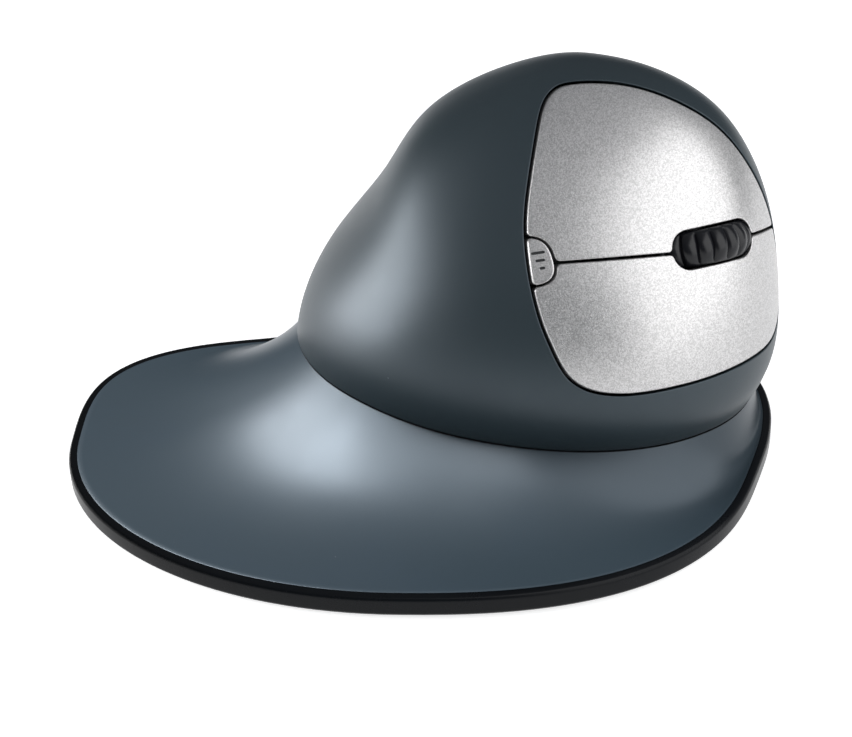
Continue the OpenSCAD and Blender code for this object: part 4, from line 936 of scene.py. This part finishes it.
SCREW = Finish(
    "screw_zinc", (138, 141, 144), (160, 163, 166), 0.32, 0.1, Effect.BRUSH,
    grain=0.3, depth=0.006, metallic=1.0,
)
STEEL = Finish(
    "bright_steel", (184, 188, 192), (200, 203, 206), 0.25, 0.08, Effect.BRUSH, depth=0.004, metallic=1.0
)
CHIP = Finish("chip_moulded", (22, 24, 26), (30, 32, 34), 0.5, 0.06)
LENS = Finish("lens_clear", (207, 224, 234), (214, 229, 238), 0.12, 0.03, depth=0.002, clear=0.85)
LAMP = Finish("lamp_red_clear", (179, 32, 42), (190, 44, 52), 0.15, 0.03, depth=0.002, clear=0.5)
SLIDER = Finish("slider_grey", (201, 204, 208), (190, 193, 197), 0.35, 0.06)
BATTERY = Finish("battery_wrap", (91, 111, 140), (104, 123, 150), 0.3, 0.08, depth=0.01, metallic=0.2)
RIBBON = Finish("ribbon_film", (200, 180, 140), (188, 166, 124), 0.4, 0.06)
MARK = Finish("key_mark_black", (24, 25, 27), (30, 31, 33), 0.5, 0.05)

NODE_FINISHES: tuple[tuple[Finish, tuple[str, ...]], ...] = (
    (BASE, ("base_plate",)),
    (FEET, ("glide_feet",)),
    (HUB, ("scroll_wheel",)),
    (MECHANISM, ("scroll_carriage", "key_chassis", "upper_hinge", "lower_hinge")),
    (MECHANISM, ("thumb_bracket", "battery_tray")),
    (ENCODER, ("scroll_encoder",)),
    (SWITCH, ("upper_switch", "lower_switch", "power_switch")),
    (PLUNGER, ("upper_plunger", "lower_plunger")),
    (TACT, ("wheel_switch", "sensitivity_switch", "thumb_front_switch", "thumb_rear_switch")),
    (CREAM, ("wheel_switch_stem", "sensitivity_stem", "thumb_front_stem", "thumb_rear_stem")),
    (BOARD, ("switch_board", "thumb_board", "main_board", "port_board")),
    (SCREW, ("board_screws", "chassis_screws", "thumb_screws", "main_screws", "port_screws", "case_screws")),
    (STEEL, ("hinge_pin", "charge_socket")),
    (CHIP, ("sensor_chip", "radio_chip")),
    (LENS, ("sensor_lens",)),
    (LAMP, ("sensor_lamp",)),
    (SLIDER, ("power_slider",)),
    (BATTERY, ("battery_pack",)),
    (RIBBON, ("ribbon_cable",)),
)


# Pieces


def settle_piece(
    obj: Piece, body: str, nodes: Sequence[str], finishes: Sequence[Finish]
) -> Piece:
    """Dresses a finished piece and hangs it on its body.

    Args:
        obj: The piece.
        body: CAD body that it moves with.
        nodes: CAD nodes that it stands for.
        finishes: The piece's finishes, in the order of its material numbers.

    Returns:
        The piece.
    """
    obj.data.materials.clear()
    for finish in finishes:
        obj.data.materials.append(finish.make())
    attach(obj, body)
    if nodes:
        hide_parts(*nodes)
    LOG.info("%s: %d faces on %s", obj.name, len(obj.data.polygons), body)
    return obj


def ring_piece(name: str, loops: Array, smooth: float) -> Piece:
    """A closed ring, shaped from a torus that has a point for each given place.

    Args:
        name: The piece's name.
        loops: Places by loop round the ring's section, point round the ring, and direction, in millimetres.
        smooth: Largest angle in degrees that shades smooth.

    Returns:
        The object, at the origin.
    """
    bpy.ops.object.select_all(action="DESELECT")
    bpy.ops.mesh.primitive_torus_add(
        major_segments=loops.shape[1], minor_segments=loops.shape[0], major_radius=0.05, minor_radius=0.01
    )
    obj = bpy.context.active_object
    obj.name = obj.data.name = name
    obj.data.vertices.foreach_set("co", (loops.transpose(1, 0, 2) * MM).astype(np.float32).ravel())
    obj.data.update()
    bpy.ops.object.mode_set(mode="EDIT")
    bpy.ops.mesh.select_all(action="SELECT")
    bpy.ops.mesh.normals_make_consistent(inside=False)
    bpy.ops.object.mode_set(mode="OBJECT")
    bpy.ops.object.shade_smooth_by_angle(angle=math.radians(smooth))
    while obj.data.uv_layers:
        obj.data.uv_layers.remove(obj.data.uv_layers[0])
    obj.select_set(False)
    return obj


@dataclass
class FingerKeys:
    """The two finger keys round the wheel, and the small key on their rear edge."""

    hump: HumpForm
    corners: tuple[tuple[float, float], ...] = (
        (-12.5, 31.6), (-5.6, 29.9), (0.8, 26.2), (7.1, 20.4), (12, 12.8), (16, 4), (19, -7), (19.2, -15),
        (15.5, -20.2), (5.6, -22.5), (-8, -23.7), (-20, -23.1), (-27, -19.3), (-30.2, -11), (-31, -2),
        (-29.6, 8), (-26, 17.5), (-21, 26.5), (-16.8, 30.8),
    )
    gap: float = 0.45
    divide_gap: float = 0.5
    divide_bend: float = -9.0
    divide_climb: float = 0.105
    small_at: tuple[float, float] = (-30.6, 2.7)
    small_half: tuple[float, float] = (3.5, 4.1)
    small_square: float = 2.7
    small_gap: float = 0.4
    slot_half: tuple[float, float] = (8.5, 3.5)
    slot_round: float = 3.1
    corner: float = 0.7
    bar_halves: tuple[float, ...] = (0.4, 0.7, 1.0)
    bar_at: tuple[float, float] = (-28.9, 1.35)
    bar_step: float = 1.35
    bar_half_height: float = 0.24
    key_box: tuple[tuple[float, float], ...] = ((-33.0, -26.0), (22.0, 34.0))
    small_box: tuple[tuple[float, float], ...] = ((-34.0, -3.0), (-25.0, 9.0))

    @cached_property
    def patch(self) -> KeyPatch:
        """The skin that the keys are cut from."""
        return KeyPatch(self.hump)

    @cached_property
    def outline(self) -> Array:
        """The keys' common outline."""
        return closed_curve(np.array(self.corners, float), 24)

    def all_keys(self, p: Array) -> Array:
        """Field of the whole outline, at the middle of the open line round it."""
        return loop_field(p, self.outline)

    def divide(self, p: Array) -> Array:
        """Height over the line between the keys."""
        back = np.maximum(self.divide_bend - p[:, 0], 0)
        return p[:, 1] - self.divide_climb * back

    def small(self, p: Array) -> Array:
        """Field of the small key's oval."""
        return oval_field(p - np.array(self.small_at), self.small_half, self.small_square)

    def key(self, side: int) -> Field:
        """Field of one finger key: side is 1 for the upper and -1 for the lower."""

        def shape(p: Array) -> Array:
            """Signed distance from the key's edge."""
            whole = self.all_keys(p) + self.gap / 2
            half = both(whole, self.divide_gap / 2 - side * self.divide(p), self.corner)
            half = both(half, self.small_gap - self.small(p), self.corner)
            return both(half, -box_field(p, self.slot_half, self.slot_round), self.corner)

        return shape

    def small_key(self, p: Array) -> Array:
        """Field of the small key."""
        return both(self.all_keys(p) + self.gap / 2, self.small(p), self.corner)

    def build(self) -> list[Piece]:
        """Makes the keys' plates, the small key and its mark, and returns them."""
        pieces = []
        for name, side in (("upper", 1), ("lower", -1)):
            skin = Skin()
            Plate(self.patch, self.key(side), *self.key_box, roll=0.28).cut(skin)
            plate, body = skin.piece(f"{name}_plate", self.hump), f"{name}_key_lever"
            pieces.append(settle_piece(plate, body, [f"{name}_key"], [SILVER, BLACK_AND_GAP_SHADE]))
        skin = Skin()
        Plate(
            self.patch, self.small_key, *self.small_box, wall=3.0, spacing=0.12, grid=0.4, proud=0.12
        ).cut(skin)
        small, body = skin.piece("small_plate", self.hump), "sensitivity_button"
        pieces.append(settle_piece(small, body, ["sensitivity_key"], [SILVER, BLACK_AND_GAP_SHADE]))
        skin = Skin()
        for k, half in enumerate(self.bar_halves):
            size, middle = (half, self.bar_half_height), np.array(self.bar_at) + [0.0, self.bar_step * k]
            Plate(
                self.patch, lambda p, m=middle, h=size: box_field(p - m, h, 0.22),
                (middle[0] - 2, middle[1] - 1), (middle[0] + 2, middle[1] + 1),
                wall=0.1, roll=0.05, spacing=0.09, grid=0.3, proud=0.15,
            ).cut(skin)
        bars = skin.piece("small_key_bars", self.hump)
        pieces.append(settle_piece(bars, body, [], [MARK, MARK]))
        return pieces


@dataclass
class ThumbKeys:
    """The two thumb keys, side by side on the hump's far side."""

    hump: HumpForm
    length: float = 15.5
    height: float = 8.0
    gap: float = 0.45
    corner: float = 2.4

    @cached_property
    def patch(self) -> ThumbPatch:
        """The skin that the keys are cut from."""
        return ThumbPatch(self.hump)

    def key(self, side: int) -> Field:
        """Field of one thumb key: side is -1 for the front and 1 for the rear."""
        middle = np.array([side * (self.length + self.gap) / 2, 0.0])
        return lambda p: box_field(p - middle, (self.length / 2, self.height / 2), self.corner)

    def opening(self, p: Array) -> Array:
        """Field of the opening that holds both keys."""
        half = (self.length + 1.5 * self.gap, self.height / 2 + self.gap)
        return box_field(p, half, self.corner + self.gap)

    def build(self) -> None:
        """Makes both keys."""
        for name, side in (("thumb_front", -1), ("thumb_rear", 1)):
            skin = Skin()
            low, high = (-18 if side < 0 else -2, -6), (2 if side < 0 else 18, 6)
            Plate(self.patch, self.key(side), low, high, roll=0.5, grid=0.6, proud=0.1).cut(skin)
            cap = skin.piece(f"{name}_cap", self.hump)
            settle_piece(cap, f"{name}_button", [f"{name}_key"], [SLATE, BLACK_AND_GAP_SHADE])


@dataclass
class ChargePort:
    """The pill-shaped opening at the nose, in front of the charging socket."""

    hump: HumpForm
    height: float = 17.4
    half: tuple[float, float] = (4.8, 1.9)

    @cached_property
    def patch(self) -> KeyPatch:
        """The skin that the opening is cut from, seen along the hump."""
        return KeyPatch(self.hump, at=(0.0, 0.0, self.height), turn=90.0, tilt=0.0, roll=0.0)

    def opening(self, p: Array) -> Array:
        """Field of the opening."""
        return box_field(p, self.half, self.half[1] - 0.05)


@dataclass
class HumpShell:
    """The hump's shell, with openings for the finger keys, the thumb keys and the charging socket."""

    hump: HumpForm
    fingers: FingerKeys
    thumbs: ThumbKeys
    port: ChargePort
    wall: float = 2.2
    roll: float = 0.35
    foot_roll: float = 0.45
    around: int = 288
    rows: int = 116
    spacing: float = 0.25
    clear: float = 0.45
    key_reach: float = 45.0
    thumb_reach: float = 30.0
    port_reach: float = 12.0
    deepest: float = 6.5

    def build(self) -> Piece:
        """Makes the shell and returns it."""
        n, m = self.around, self.rows
        turns = np.arange(n) * 360.0 / n
        start = self.hump.seam_section(turns)
        first = start + 0.05
        t = (first + (self.hump.top - first) * (np.arange(m) / m)[:, None]).ravel()
        turn = np.tile(turns, m)
        points, normals = self.hump.points(turn, t), self.hump.normals(turn, t)
        crest = self.hump.points(np.array([0.0]), np.array([float(self.hump.top)]))
        up = np.array([[0.0, 0.0, 1.0]])
        skin = Skin()
        outer = skin.add(np.vstack([points, crest]), np.vstack([normals, up]))
        lining = points - self.wall * normals
        inner = skin.add(np.vstack([lining, crest - self.wall * up]), -np.vstack([normals, up]))
        thumb_loop = edge_loop(self.thumbs.opening, (-20, -8), (20, 8), self.spacing)
        port_loop = edge_loop(self.port.opening, (-7, -4), (7, 4), self.spacing)
        finger_loop = even_loop(anticlockwise(self.fingers.outline), self.spacing)
        finger_loop = finger_loop + self.fingers.gap / 2 * outward(finger_loop)
        edges = {"finger": finger_loop, "thumb": thumb_loop, "port": port_loop}
        self._wrap(skin, outer, points, normals, turn, t, edges, True)
        self._wrap(skin, inner, lining, normals, turn, t, edges, False)
        foot = self.hump.points(turns, start)
        middle = foot[:, :2].mean(axis=0)
        inwards = np.concatenate([unit(middle - foot[:, :2]), np.zeros((n, 1))], axis=1)
        down = np.broadcast_to(np.array([0.0, 0.0, -1.0]), foot.shape)
        rows = skin.rolled_edge(points[:n], foot, foot + self.foot_roll * inwards, normals[:n], down)
        skin.band(outer[:n], rows[0])
        # The foot's underside takes the black second finish: bare plastic, and painted shade under the
        # shell's edge.
        skin.band(rows[-1], inner[:n], Part.EDGE)
        shell = skin.piece("hump_shell", self.hump)
        return settle_piece(shell, "housing", ["body_shell"], [SLATE, BLACK_AND_GAP_SHADE])

    def _wrap(
        self, skin: Skin, numbers: Array, points: Array, normals: Array,
        turn: Array, t: Array, edges: dict[str, Array], outside: bool,
    ) -> None:
        """Covers one side of the shell and joins it to the openings.

        Args:
            skin: The piece's faces so far.
            numbers: Numbers of this side's points, the crest last.
            points: Places of this side.
            normals: Directions of the outer skin.
            turn: Turns of the points.
            t: Sections of the points.
            edges: Edges of the openings, by name.
            outside: Whether this is the outer side, whose openings get rolled edges and walls.
        """
        n, m = self.around, self.rows
        keys, thumbs = self.fingers.patch, self.thumbs.patch
        lies = keys.flatten(points)
        faces_out = (normals @ keys.axes[2] > -0.15) & (lies[:, 2] > -30)
        margin = (self.roll if outside else 0.0) + self.clear
        flat_keys = lies[:, :2]
        flat_thumbs = thumbs.unroll(turn, t)
        gone = np.zeros(len(points) + 1, bool)
        near = faces_out & (np.abs(flat_keys) < self.key_reach).all(axis=1)
        gone[:-1][near] = loop_field(flat_keys[near], edges["finger"]) < margin
        beside = (np.abs(flat_thumbs) < self.thumb_reach).all(axis=1)
        gone[:-1][beside] |= self.thumbs.opening(flat_thumbs[beside]) < margin
        flat_port = self.port.patch.flatten(points)[:, :2]
        ahead = (normals @ self.port.patch.axes[2] > 0.3) & (np.abs(flat_port) < self.port_reach).all(axis=1)
        gone[:-1][ahead] |= self.port.opening(flat_port[ahead]) < margin
        j, k = np.meshgrid(np.arange(m - 1), np.arange(n), indexing="ij")
        a, b = (j * n + k).ravel(), (j * n + (k + 1) % n).ravel()
        quads = np.stack([a, b, b + n, a + n], axis=1)
        while True:
            kept = quads[~gone[quads].any(axis=1)]
            sides = np.sort(np.stack([kept, np.roll(kept, -1, axis=1)], axis=-1).reshape(-1, 2), axis=1)
            pairs, uses = np.unique(sides, axis=0, return_counts=True)
            rim = pairs[(uses == 1)]
            rim = rim[~((rim < n).all(axis=1)) & ~((rim >= (m - 1) * n).all(axis=1))]
            ends, meets = np.unique(rim, return_counts=True)
            if not (meets > 2).any():
                break
            gone[ends[meets > 2]] = True
        # The inner lining takes the black second finish, bare plastic that also paints the shade inside the
        # shell.
        part, last = Part.FACE if outside else Part.EDGE, (m - 1) * n
        skin.cover(numbers[kept], part)
        fan = [(last + i, last + (i + 1) % n, m * n) for i in range(n)]
        skin.cover(numbers[np.array(fan)], part)
        for chain in chains(rim.tolist()):
            loop = np.array(chain)
            if np.abs(flat_thumbs[loop]).max() < self.thumb_reach:
                key, flat, patch = "thumb", flat_thumbs, thumbs
            elif ahead[loop].all():
                key, flat, patch = "port", flat_port, self.port.patch
            else:
                key, flat, patch = "finger", flat_keys, keys
            self._fit(skin, numbers[loop], flat[loop], patch, edges[key], outside, key)

    def _fit(
        self, skin: Skin, ragged: Array, flat: Array, patch: Patch, loop: Array,
        outside: bool, key: str,
    ) -> None:
        """Fills between the shell's ragged edge and an opening's clean one.

        Args:
            skin: The piece's faces so far.
            ragged: Numbers of the points of the ragged edge.
            flat: Their flat places.
            patch: The skin round the opening.
            loop: The opening's edge.
            outside: Whether the edge is rolled and walled, or takes up the wall's foot.
            key: Name of the opening.
        """
        if outside:
            near_flat = loop + self.roll * outward(loop)
            near, up = patch.lift(near_flat)
            brink, brink_up = patch.lift(loop)
            way = patch.inwards(brink_up)
            run = np.roll(brink, -1, axis=0) - np.roll(brink, 1, axis=0)
            side = -unit(np.cross(run, -way))
            rows = skin.rolled_edge(near, brink, brink + self.roll * way, up, side)
            faces = fill_flat([flat, near_flat], np.zeros((0, 2)))
            skin.cover(np.concatenate([ragged, rows[0]])[faces])
            slant = np.maximum((-way * brink_up).sum(axis=1), 0.2)
            depth = np.clip(self.wall / slant, self.wall, self.deepest)
            foot = skin.add(brink + depth[:, None] * way, side)
            # The openings' walls take the black second finish: bare plastic, and painted shade in the gaps
            # round the keys.
            skin.band(rows[-1], foot, Part.EDGE)
            self._feet[key] = foot
        else:
            faces = fill_flat([flat, loop], np.zeros((0, 2)))
            skin.cover(np.concatenate([ragged, self._feet[key]])[faces], Part.EDGE)

    @cached_property
    def _feet(self) -> dict[str, Array]:
        """Numbers of the points at the feet of the openings' walls."""
        return {}


@dataclass
class HandRest:
    """The flared brim under the hump and the black lip round it."""

    hump: HumpForm
    lobe_low: tuple[float, float] = (-15.4, -86.3594)
    lobe_high: tuple[float, float] = (61.23, 42.0066)
    lobe_mid: tuple[float, float] = (18.369, -22.1764)
    square_finger_nose: float = 2.4
    square_finger_heel: float = 2.0
    square_thumb_heel: float = 3.3
    square_thumb_nose: float = 2.3
    ledge: float = 3.0
    merge: float = 14.0
    crowd: float = 25.0
    farthest: float = 140.0
    lip_width: float = 1.6
    lip_tuck: float = 0.08
    lip_bottom: float = 0.9
    lip_shoulder: float = 4.35
    lip_top: float = 5.05
    plate_bottom: float = 0.7
    plate_top: float = 2.7
    seam_lap: float = 2.9
    tongue: tuple[float, float] = (0.6, 1.2)
    # Inset from the hump's foot at which the brim's top ends and its painted seam shade begins.
    seam_edge: float = 0.12
    seam_gap: float = 0.42
    seam_fall: float = 0.25
    edge_roll: float = 0.12
    edge_rows: tuple[tuple[float, float], ...] = ((0.0, 0.12), (0.035, 0.035))
    flare: float = 2.8
    wall: float = 1.8
    around: int = 256
    across: int = 44

    @cached_property
    def feet(self) -> Array:
        """The hump's foot in the frame of the mouse, its points crowded behind the heel."""
        a = np.arange(self.around) * 360.0 / self.around
        turn = (a - self.crowd * np.sin(np.radians(a - 270))) % 360
        return self.hump.seat(self.hump.points(turn, self.hump.seam_section(turn)))

    def _outside_lobe(self, p: Array) -> Array:
        """Which places, from the hump's middle, lie outside the lobe under the hand."""
        q = p - np.array(self.lobe_mid)
        finger = np.where(q[:, 1] > 0, self.square_finger_nose, self.square_finger_heel)
        thumb = np.where(q[:, 1] > 0, self.square_thumb_nose, self.square_thumb_heel)
        e = np.where(q[:, 0] > 0, finger, thumb)
        low, mid, high = np.array(self.lobe_low), np.array(self.lobe_mid), np.array(self.lobe_high)
        across = np.where(q[:, 0] > 0, high[0] - mid[0], mid[0] - low[0])
        return (np.abs(q[:, 0]) / across) ** e + (np.abs(q[:, 1]) / (high[1] - mid[1])) ** e > 1

    @cached_property
    def edge(self) -> Array:
        """The brim's outermost edge in plan: the lobe under the hand, and a ledge elsewhere."""
        centre = np.array(self.hump.place)
        foot = np.linalg.norm(self.feet[:, :2] - centre, axis=1)
        way = (self.feet[:, :2] - centre) / foot[:, None]
        inside, outside = np.zeros(len(way)), np.full(len(way), self.farthest)
        lobe = halving(inside, outside, lambda mid: self._outside_lobe(mid[:, None] * way))
        reach = (lobe**self.merge + (foot + self.ledge) ** self.merge) ** (1 / self.merge)
        return centre + reach[:, None] * way

    def drawn_in(self, plan: Array, inset: float) -> Array:
        """A plan drawn in square to itself."""
        return plan - inset * outward(plan)

    def _raised(self, plan: Array, z: float | Array) -> Array:
        """A plan at a height, or at one for each point."""
        return np.column_stack([plan, np.broadcast_to(z, len(plan))])

    def build_lip(self) -> None:
        """Makes the black lip from its section, its corners rounded."""
        corners = [
            ((0.55, self.plate_bottom), 0.12),
            ((0.0, self.lip_bottom + 0.5), 0.3),
            ((0.0, self.lip_shoulder), 0.25),
            ((0.35, self.lip_top - 0.12), 0.25),
            ((self.lip_width, self.lip_top), 0.12),
            ((self.lip_width, self.plate_bottom), 0.1),
        ]
        longest = 0.45
        section: list[Array] = []
        for k, (corner, cut) in enumerate(corners):
            here = np.array(corner)
            before, after = np.array(corners[k - 1][0]), np.array(corners[(k + 1) % len(corners)][0])
            one, two = (
                here + min(cut, longest * np.linalg.norm(other - here)) * unit(other - here)
                for other in (before, after)
            )
            for f in np.linspace(0, 1, 6):
                section.append((1 - f) ** 2 * one + 2 * f * (1 - f) * here + f**2 * two)
        plans = [self.drawn_in(self.edge, inset + self.lip_tuck) for inset, _ in section]
        loops = np.stack([self._raised(plan, z) for plan, (_, z) in zip(plans, section)])
        settle_piece(ring_piece("rest_lip", loops, 40), "housing", ["rim_band"], [RIM])

    def build_brim(self) -> Piece:
        """Makes the flared cover between the lip and the hump's foot, its strip under the foot painted black
        as the seam's shade, and returns it.
        """
        outer = self.drawn_in(self.edge, self.lip_width + 0.1)
        brow = self.drawn_in(self.feet[:, :2], self.seam_edge)
        inner = self.drawn_in(self.feet[:, :2], self.seam_lap)
        top = self.feet[:, 2] - self.seam_gap
        width = np.linalg.norm(outer - inner, axis=1)
        thin = np.minimum(self.wall, 0.35 * width)
        share = thin / width

        def flare(f: Array | float) -> Array:
            """Height of the brim at a share of the way up to the hump."""
            return self.lip_top + (top - self.lip_top) * np.maximum(f, 0) ** self.flare

        ahead = unit(brow - outer)
        rim = outer + self.edge_roll * ahead
        loops = [self._raised(outer, self.plate_top)]
        loops += [self._raised(outer + inset * ahead, self.lip_top - dip) for inset, dip in self.edge_rows]
        loops += [self._raised(rim + f * (brow - rim), flare(f)) for f in np.linspace(0, 1, self.across + 1)]
        loops += [self._raised(brow + f * (inner - brow), top - self.seam_fall * f) for f in (0.3, 0.65, 1.0)]
        back = self.drawn_in(self.feet[:, :2], self.seam_lap + self.tongue[0])
        loops += [self._raised(plan, top + self.tongue[1]) for plan in (inner, back)]
        loops.append(self._raised(back, self.plate_top))
        under = [share + (1 - 2 * share) * f for f in np.linspace(1, 0, 10)]
        plans = [outer + f[:, None] * (inner - outer) for f in under]
        loops.append(self._raised(plans[0], self.plate_top))
        loops += [self._raised(plan, flare(f - share) - thin) for plan, f in zip(plans, under)]
        loops.append(self._raised(plans[-1], self.plate_top))
        brim = ring_piece("rest_brim", np.stack(loops), 40)
        settle_piece(brim, "housing", ["brim_cover"], [REST, BLACK_AND_GAP_SHADE])
        # The lap under the hump's foot, the tongue and the underside take the black second finish: painted
        # shade that draws the dark seam line under the hump.
        for face in brim.data.polygons:
            loop = [v % len(loops) for v in face.vertices]
            face.material_index = int(min(loop) > self.across + 2 or max(loop) - min(loop) > 1)
        return brim


@dataclass
class WheelTyre:
    """The scroll wheel's ribbed rubber tyre."""

    keys: FingerKeys
    radius: float = 11.0
    width: float = 6.2
    wall: float = 2.2
    crown: float = 1.5
    drop: float = 9.0
    ribs: int = 22
    groove: float = 0.95
    groove_share: float = 0.96
    shoulder: tuple[float, float] = (0.9, 0.25)
    fade: int = 6
    steps: int = 11
    across: int = 20

    def build(self) -> None:
        """Makes the tyre as a ring of rounded ribs."""
        u, v, w = self.keys.patch.axes
        centre = np.array(self.keys.patch.at) - self.drop * w
        step = np.arange(self.ribs * self.steps)
        angle = step * 2 * math.pi / len(step)
        share = (step % self.steps) / self.steps * 2 - 1
        dip = self.groove * (1 - np.sqrt(np.maximum(1 - share**2 * self.groove_share, 0)))
        spoke = np.cos(angle)[:, None] * u + np.sin(angle)[:, None] * w
        loops = []
        for f in np.linspace(-1, 1, self.across + 1):
            start, drop = self.shoulder
            round_off = drop * max(abs(f) - start, 0) / (1 - start)
            reach = self.radius - self.crown * f * f - round_off - dip * (1 - abs(f) ** self.fade)
            loops.append(centre + reach[:, None] * spoke + f * self.width / 2 * v)
        bore = self.radius - self.wall
        for f in (1.0, -1.0):
            loops.append(centre + bore * spoke + f * self.width / 2 * v)
        placed = self.keys.hump.seat(np.stack(loops))
        settle_piece(ring_piece("wheel_tyre", placed, 60), "wheel", ["scroll_tyre"], [TYRE])


@dataclass
class Studio:
    """The pale floor, the soft lights and the camera."""

    eye: tuple[float, float, float] = (369.84, 34.197, 306.62)
    right: tuple[float, float, float] = (-0.0594, 0.9976, -0.0369)
    above: tuple[float, float, float] = (-0.6120, -0.0072, 0.7909)
    back: tuple[float, float, float] = (0.7887, 0.0696, 0.6109)
    focal: float = 2531.8
    image_width: float = 852.0
    sensor: float = 36.0
    low_sky: Colour = (0.11, 0.12, 0.13)
    high_sky: Colour = (0.33, 0.34, 0.36)
    floor_tone: Colour = (0.9, 0.9, 0.9)
    floor_glow: float = 0.72
    floor_size: float = 6.0
    aim_height: float = 0.03

    def camera(self) -> None:
        """Sets the camera where the photograph was taken from."""
        data = bpy.data.cameras.new("photo_view")
        data.sensor_width = self.sensor
        data.lens = self.sensor * self.focal / self.image_width
        data.clip_start, data.clip_end = 0.01, 20.0
        obj = bpy.data.objects.new("photo_view", data)
        bpy.context.scene.collection.objects.link(obj)
        turn = Matrix((self.right, self.above, self.back)).transposed().to_4x4()
        obj.matrix_world = Matrix.Translation(Vector(self.eye) * MM) @ turn
        bpy.context.scene.camera = obj

    def floor(self) -> Piece:
        """Lays the pale floor and returns it."""
        bpy.ops.object.select_all(action="DESELECT")
        bpy.ops.mesh.primitive_grid_add(x_subdivisions=8, y_subdivisions=8, size=self.floor_size)
        obj = bpy.context.active_object
        obj.name = "studio_floor"
        material = bpy.data.materials.new("studio_floor_white")
        material.use_nodes = True
        bench = Bench(material.node_tree)
        shader = next(n for n in material.node_tree.nodes if n.type == "BSDF_PRINCIPLED")
        shader.inputs["Base Color"].default_value = (*self.floor_tone, 1.0)
        shader.inputs["Roughness"].default_value = 0.9
        path = bench.add("ShaderNodeLightPath")
        seen = bench.sum("MAXIMUM", path.outputs["Is Camera Ray"], path.outputs["Is Transmission Ray"])
        seen = bench.sum("MAXIMUM", seen, path.outputs["Is Glossy Ray"])
        strength = bench.sum("MULTIPLY", seen, self.floor_glow)
        glow = bench.add("ShaderNodeEmission", None, Color=WHITE, Strength=strength)
        joined = bench.add("ShaderNodeAddShader")
        bench.feed(joined.inputs[0], shader.outputs[0])
        bench.feed(joined.inputs[1], glow.outputs[0])
        out = next(n for n in material.node_tree.nodes if n.type == "OUTPUT_MATERIAL")
        bench.feed(out.inputs["Surface"], joined.outputs[0])
        obj.data.materials.append(material)
        obj.select_set(False)
        return obj

    def lamp(
        self, lamp: str, way: tuple[float, float], far: float, size: tuple[float, float], glow: float,
        only: Sequence[Piece], roll: float = 0.0,
    ) -> None:
        """Hangs a soft box out of the camera's sight, turned to the mouse.

        Args:
            lamp: The lamp's name.
            way: Its direction from the mouse: degrees round from the finger side, and up from the floor.
            far: Its distance in metres.
            size: Its width and height.
            glow: Brightness of its face, where 1 is white.
            only: Pieces that it lights.
            roll: Degrees that it is turned about its own direction.
        """
        data = bpy.data.lights.new(lamp, "AREA")
        data.shape, data.size, data.size_y = "RECTANGLE", size[0], size[1]
        data.energy = glow * math.pi * size[0] * size[1]
        obj = bpy.data.objects.new(lamp, data)
        bpy.context.scene.collection.objects.link(obj)
        round_, up = math.radians(way[0]), math.radians(way[1])
        aim = Vector((math.cos(up) * math.cos(round_), math.cos(up) * math.sin(round_), math.sin(up)))
        obj.location = aim * far + Vector((0, 0, self.aim_height))
        turn = Quaternion((0.0, 0.0, 1.0), math.radians(roll))
        obj.rotation_euler = ((-aim).to_track_quat("-Z", "Y") @ turn).to_euler()
        obj.visible_camera = False
        lit = bpy.data.collections.new(f"{lamp}_lights")
        for piece in only:
            lit.objects.link(piece)
        obj.light_linking.receiver_collection = lit

    def world(self) -> None:
        """Sets the even light from all round, stronger from above, and white where the camera sees it."""
        made = bpy.data.worlds.new("studio_world")
        bpy.context.scene.world = made
        made.use_nodes = True
        bench = Bench(made.node_tree)
        plain = next(n for n in made.node_tree.nodes if n.type == "BACKGROUND")
        place = bench.add("ShaderNodeTexCoord").outputs["Generated"]
        way = bench.add("ShaderNodeSeparateXYZ", None, Vector=place)
        rise = bench.span(way.outputs["Z"], 0.2, 0.95, 0.0, 1.0)
        shade = bench.tint(rise, (*self.low_sky, 1.0), (*self.high_sky, 1.0))
        seen = bench.add("ShaderNodeLightPath").outputs["Is Camera Ray"]
        bench.feed(plain.inputs["Color"], bench.tint(seen, shade, WHITE))

    def build(self, shell: Piece, plates: Sequence[Piece], brim: Piece) -> None:
        """Sets up the studio.

        Args:
            shell: The hump's shell, whose heel gets a soft box.
            plates: The silver keys, which get a weaker one from the same side.
            brim: The hand rest's brim, which gets two soft boxes of its own.
        """
        pieces = [obj for obj in bpy.context.scene.objects if obj.type == "MESH"]
        self.camera()
        floor = self.floor()
        self.world()
        self.lamp("heel_box", (-90, 9), 0.62, (0.42, 0.26), 14.5, [shell, floor])
        self.lamp("heel_box_keys", (-90, 9), 0.62, (0.42, 0.26), 7.0, plates)
        self.lamp("rest_box", (-107, 51), 0.60, (0.46, 0.27), 15.5, [brim], 54.0)
        self.lamp("rest_box_fill", (-62, 62), 0.60, (0.40, 0.30), 7.5, [brim])
        self.lamp("floor_box", (75, 30), 0.42, (0.62, 0.50), 1.2, [floor])
        self.lamp("nose_box", (60, 35), 0.42, (0.62, 0.62), 2.35, pieces)
        bpy.context.scene.view_settings.view_transform = "Standard"


def dress_nodes() -> None:
    """Gives every CAD node that still shows its finish."""
    for finish, names in NODE_FINISHES:
        for name in names:
            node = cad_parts[name]
            node.data.materials.clear()
            node.data.materials.append(finish.make())
            LOG.info("%s: %s", name, finish.name)


def main() -> None:
    """Builds the mouse and the studio, piece by piece."""
    logging.basicConfig(level=logging.INFO, format="%(name)s %(message)s")
    bpy.ops.object.select_all(action="DESELECT")
    hump = HumpForm()
    fingers, thumbs = FingerKeys(hump), ThumbKeys(hump)
    plates = fingers.build()
    thumbs.build()
    shell = HumpShell(hump, fingers, thumbs, ChargePort(hump)).build()
    rest = HandRest(hump)
    rest.build_lip()
    brim = rest.build_brim()
    WheelTyre(fingers).build()
    dress_nodes()
    Studio().build(shell, plates, brim)


if __name__ == "__main__":
    main()
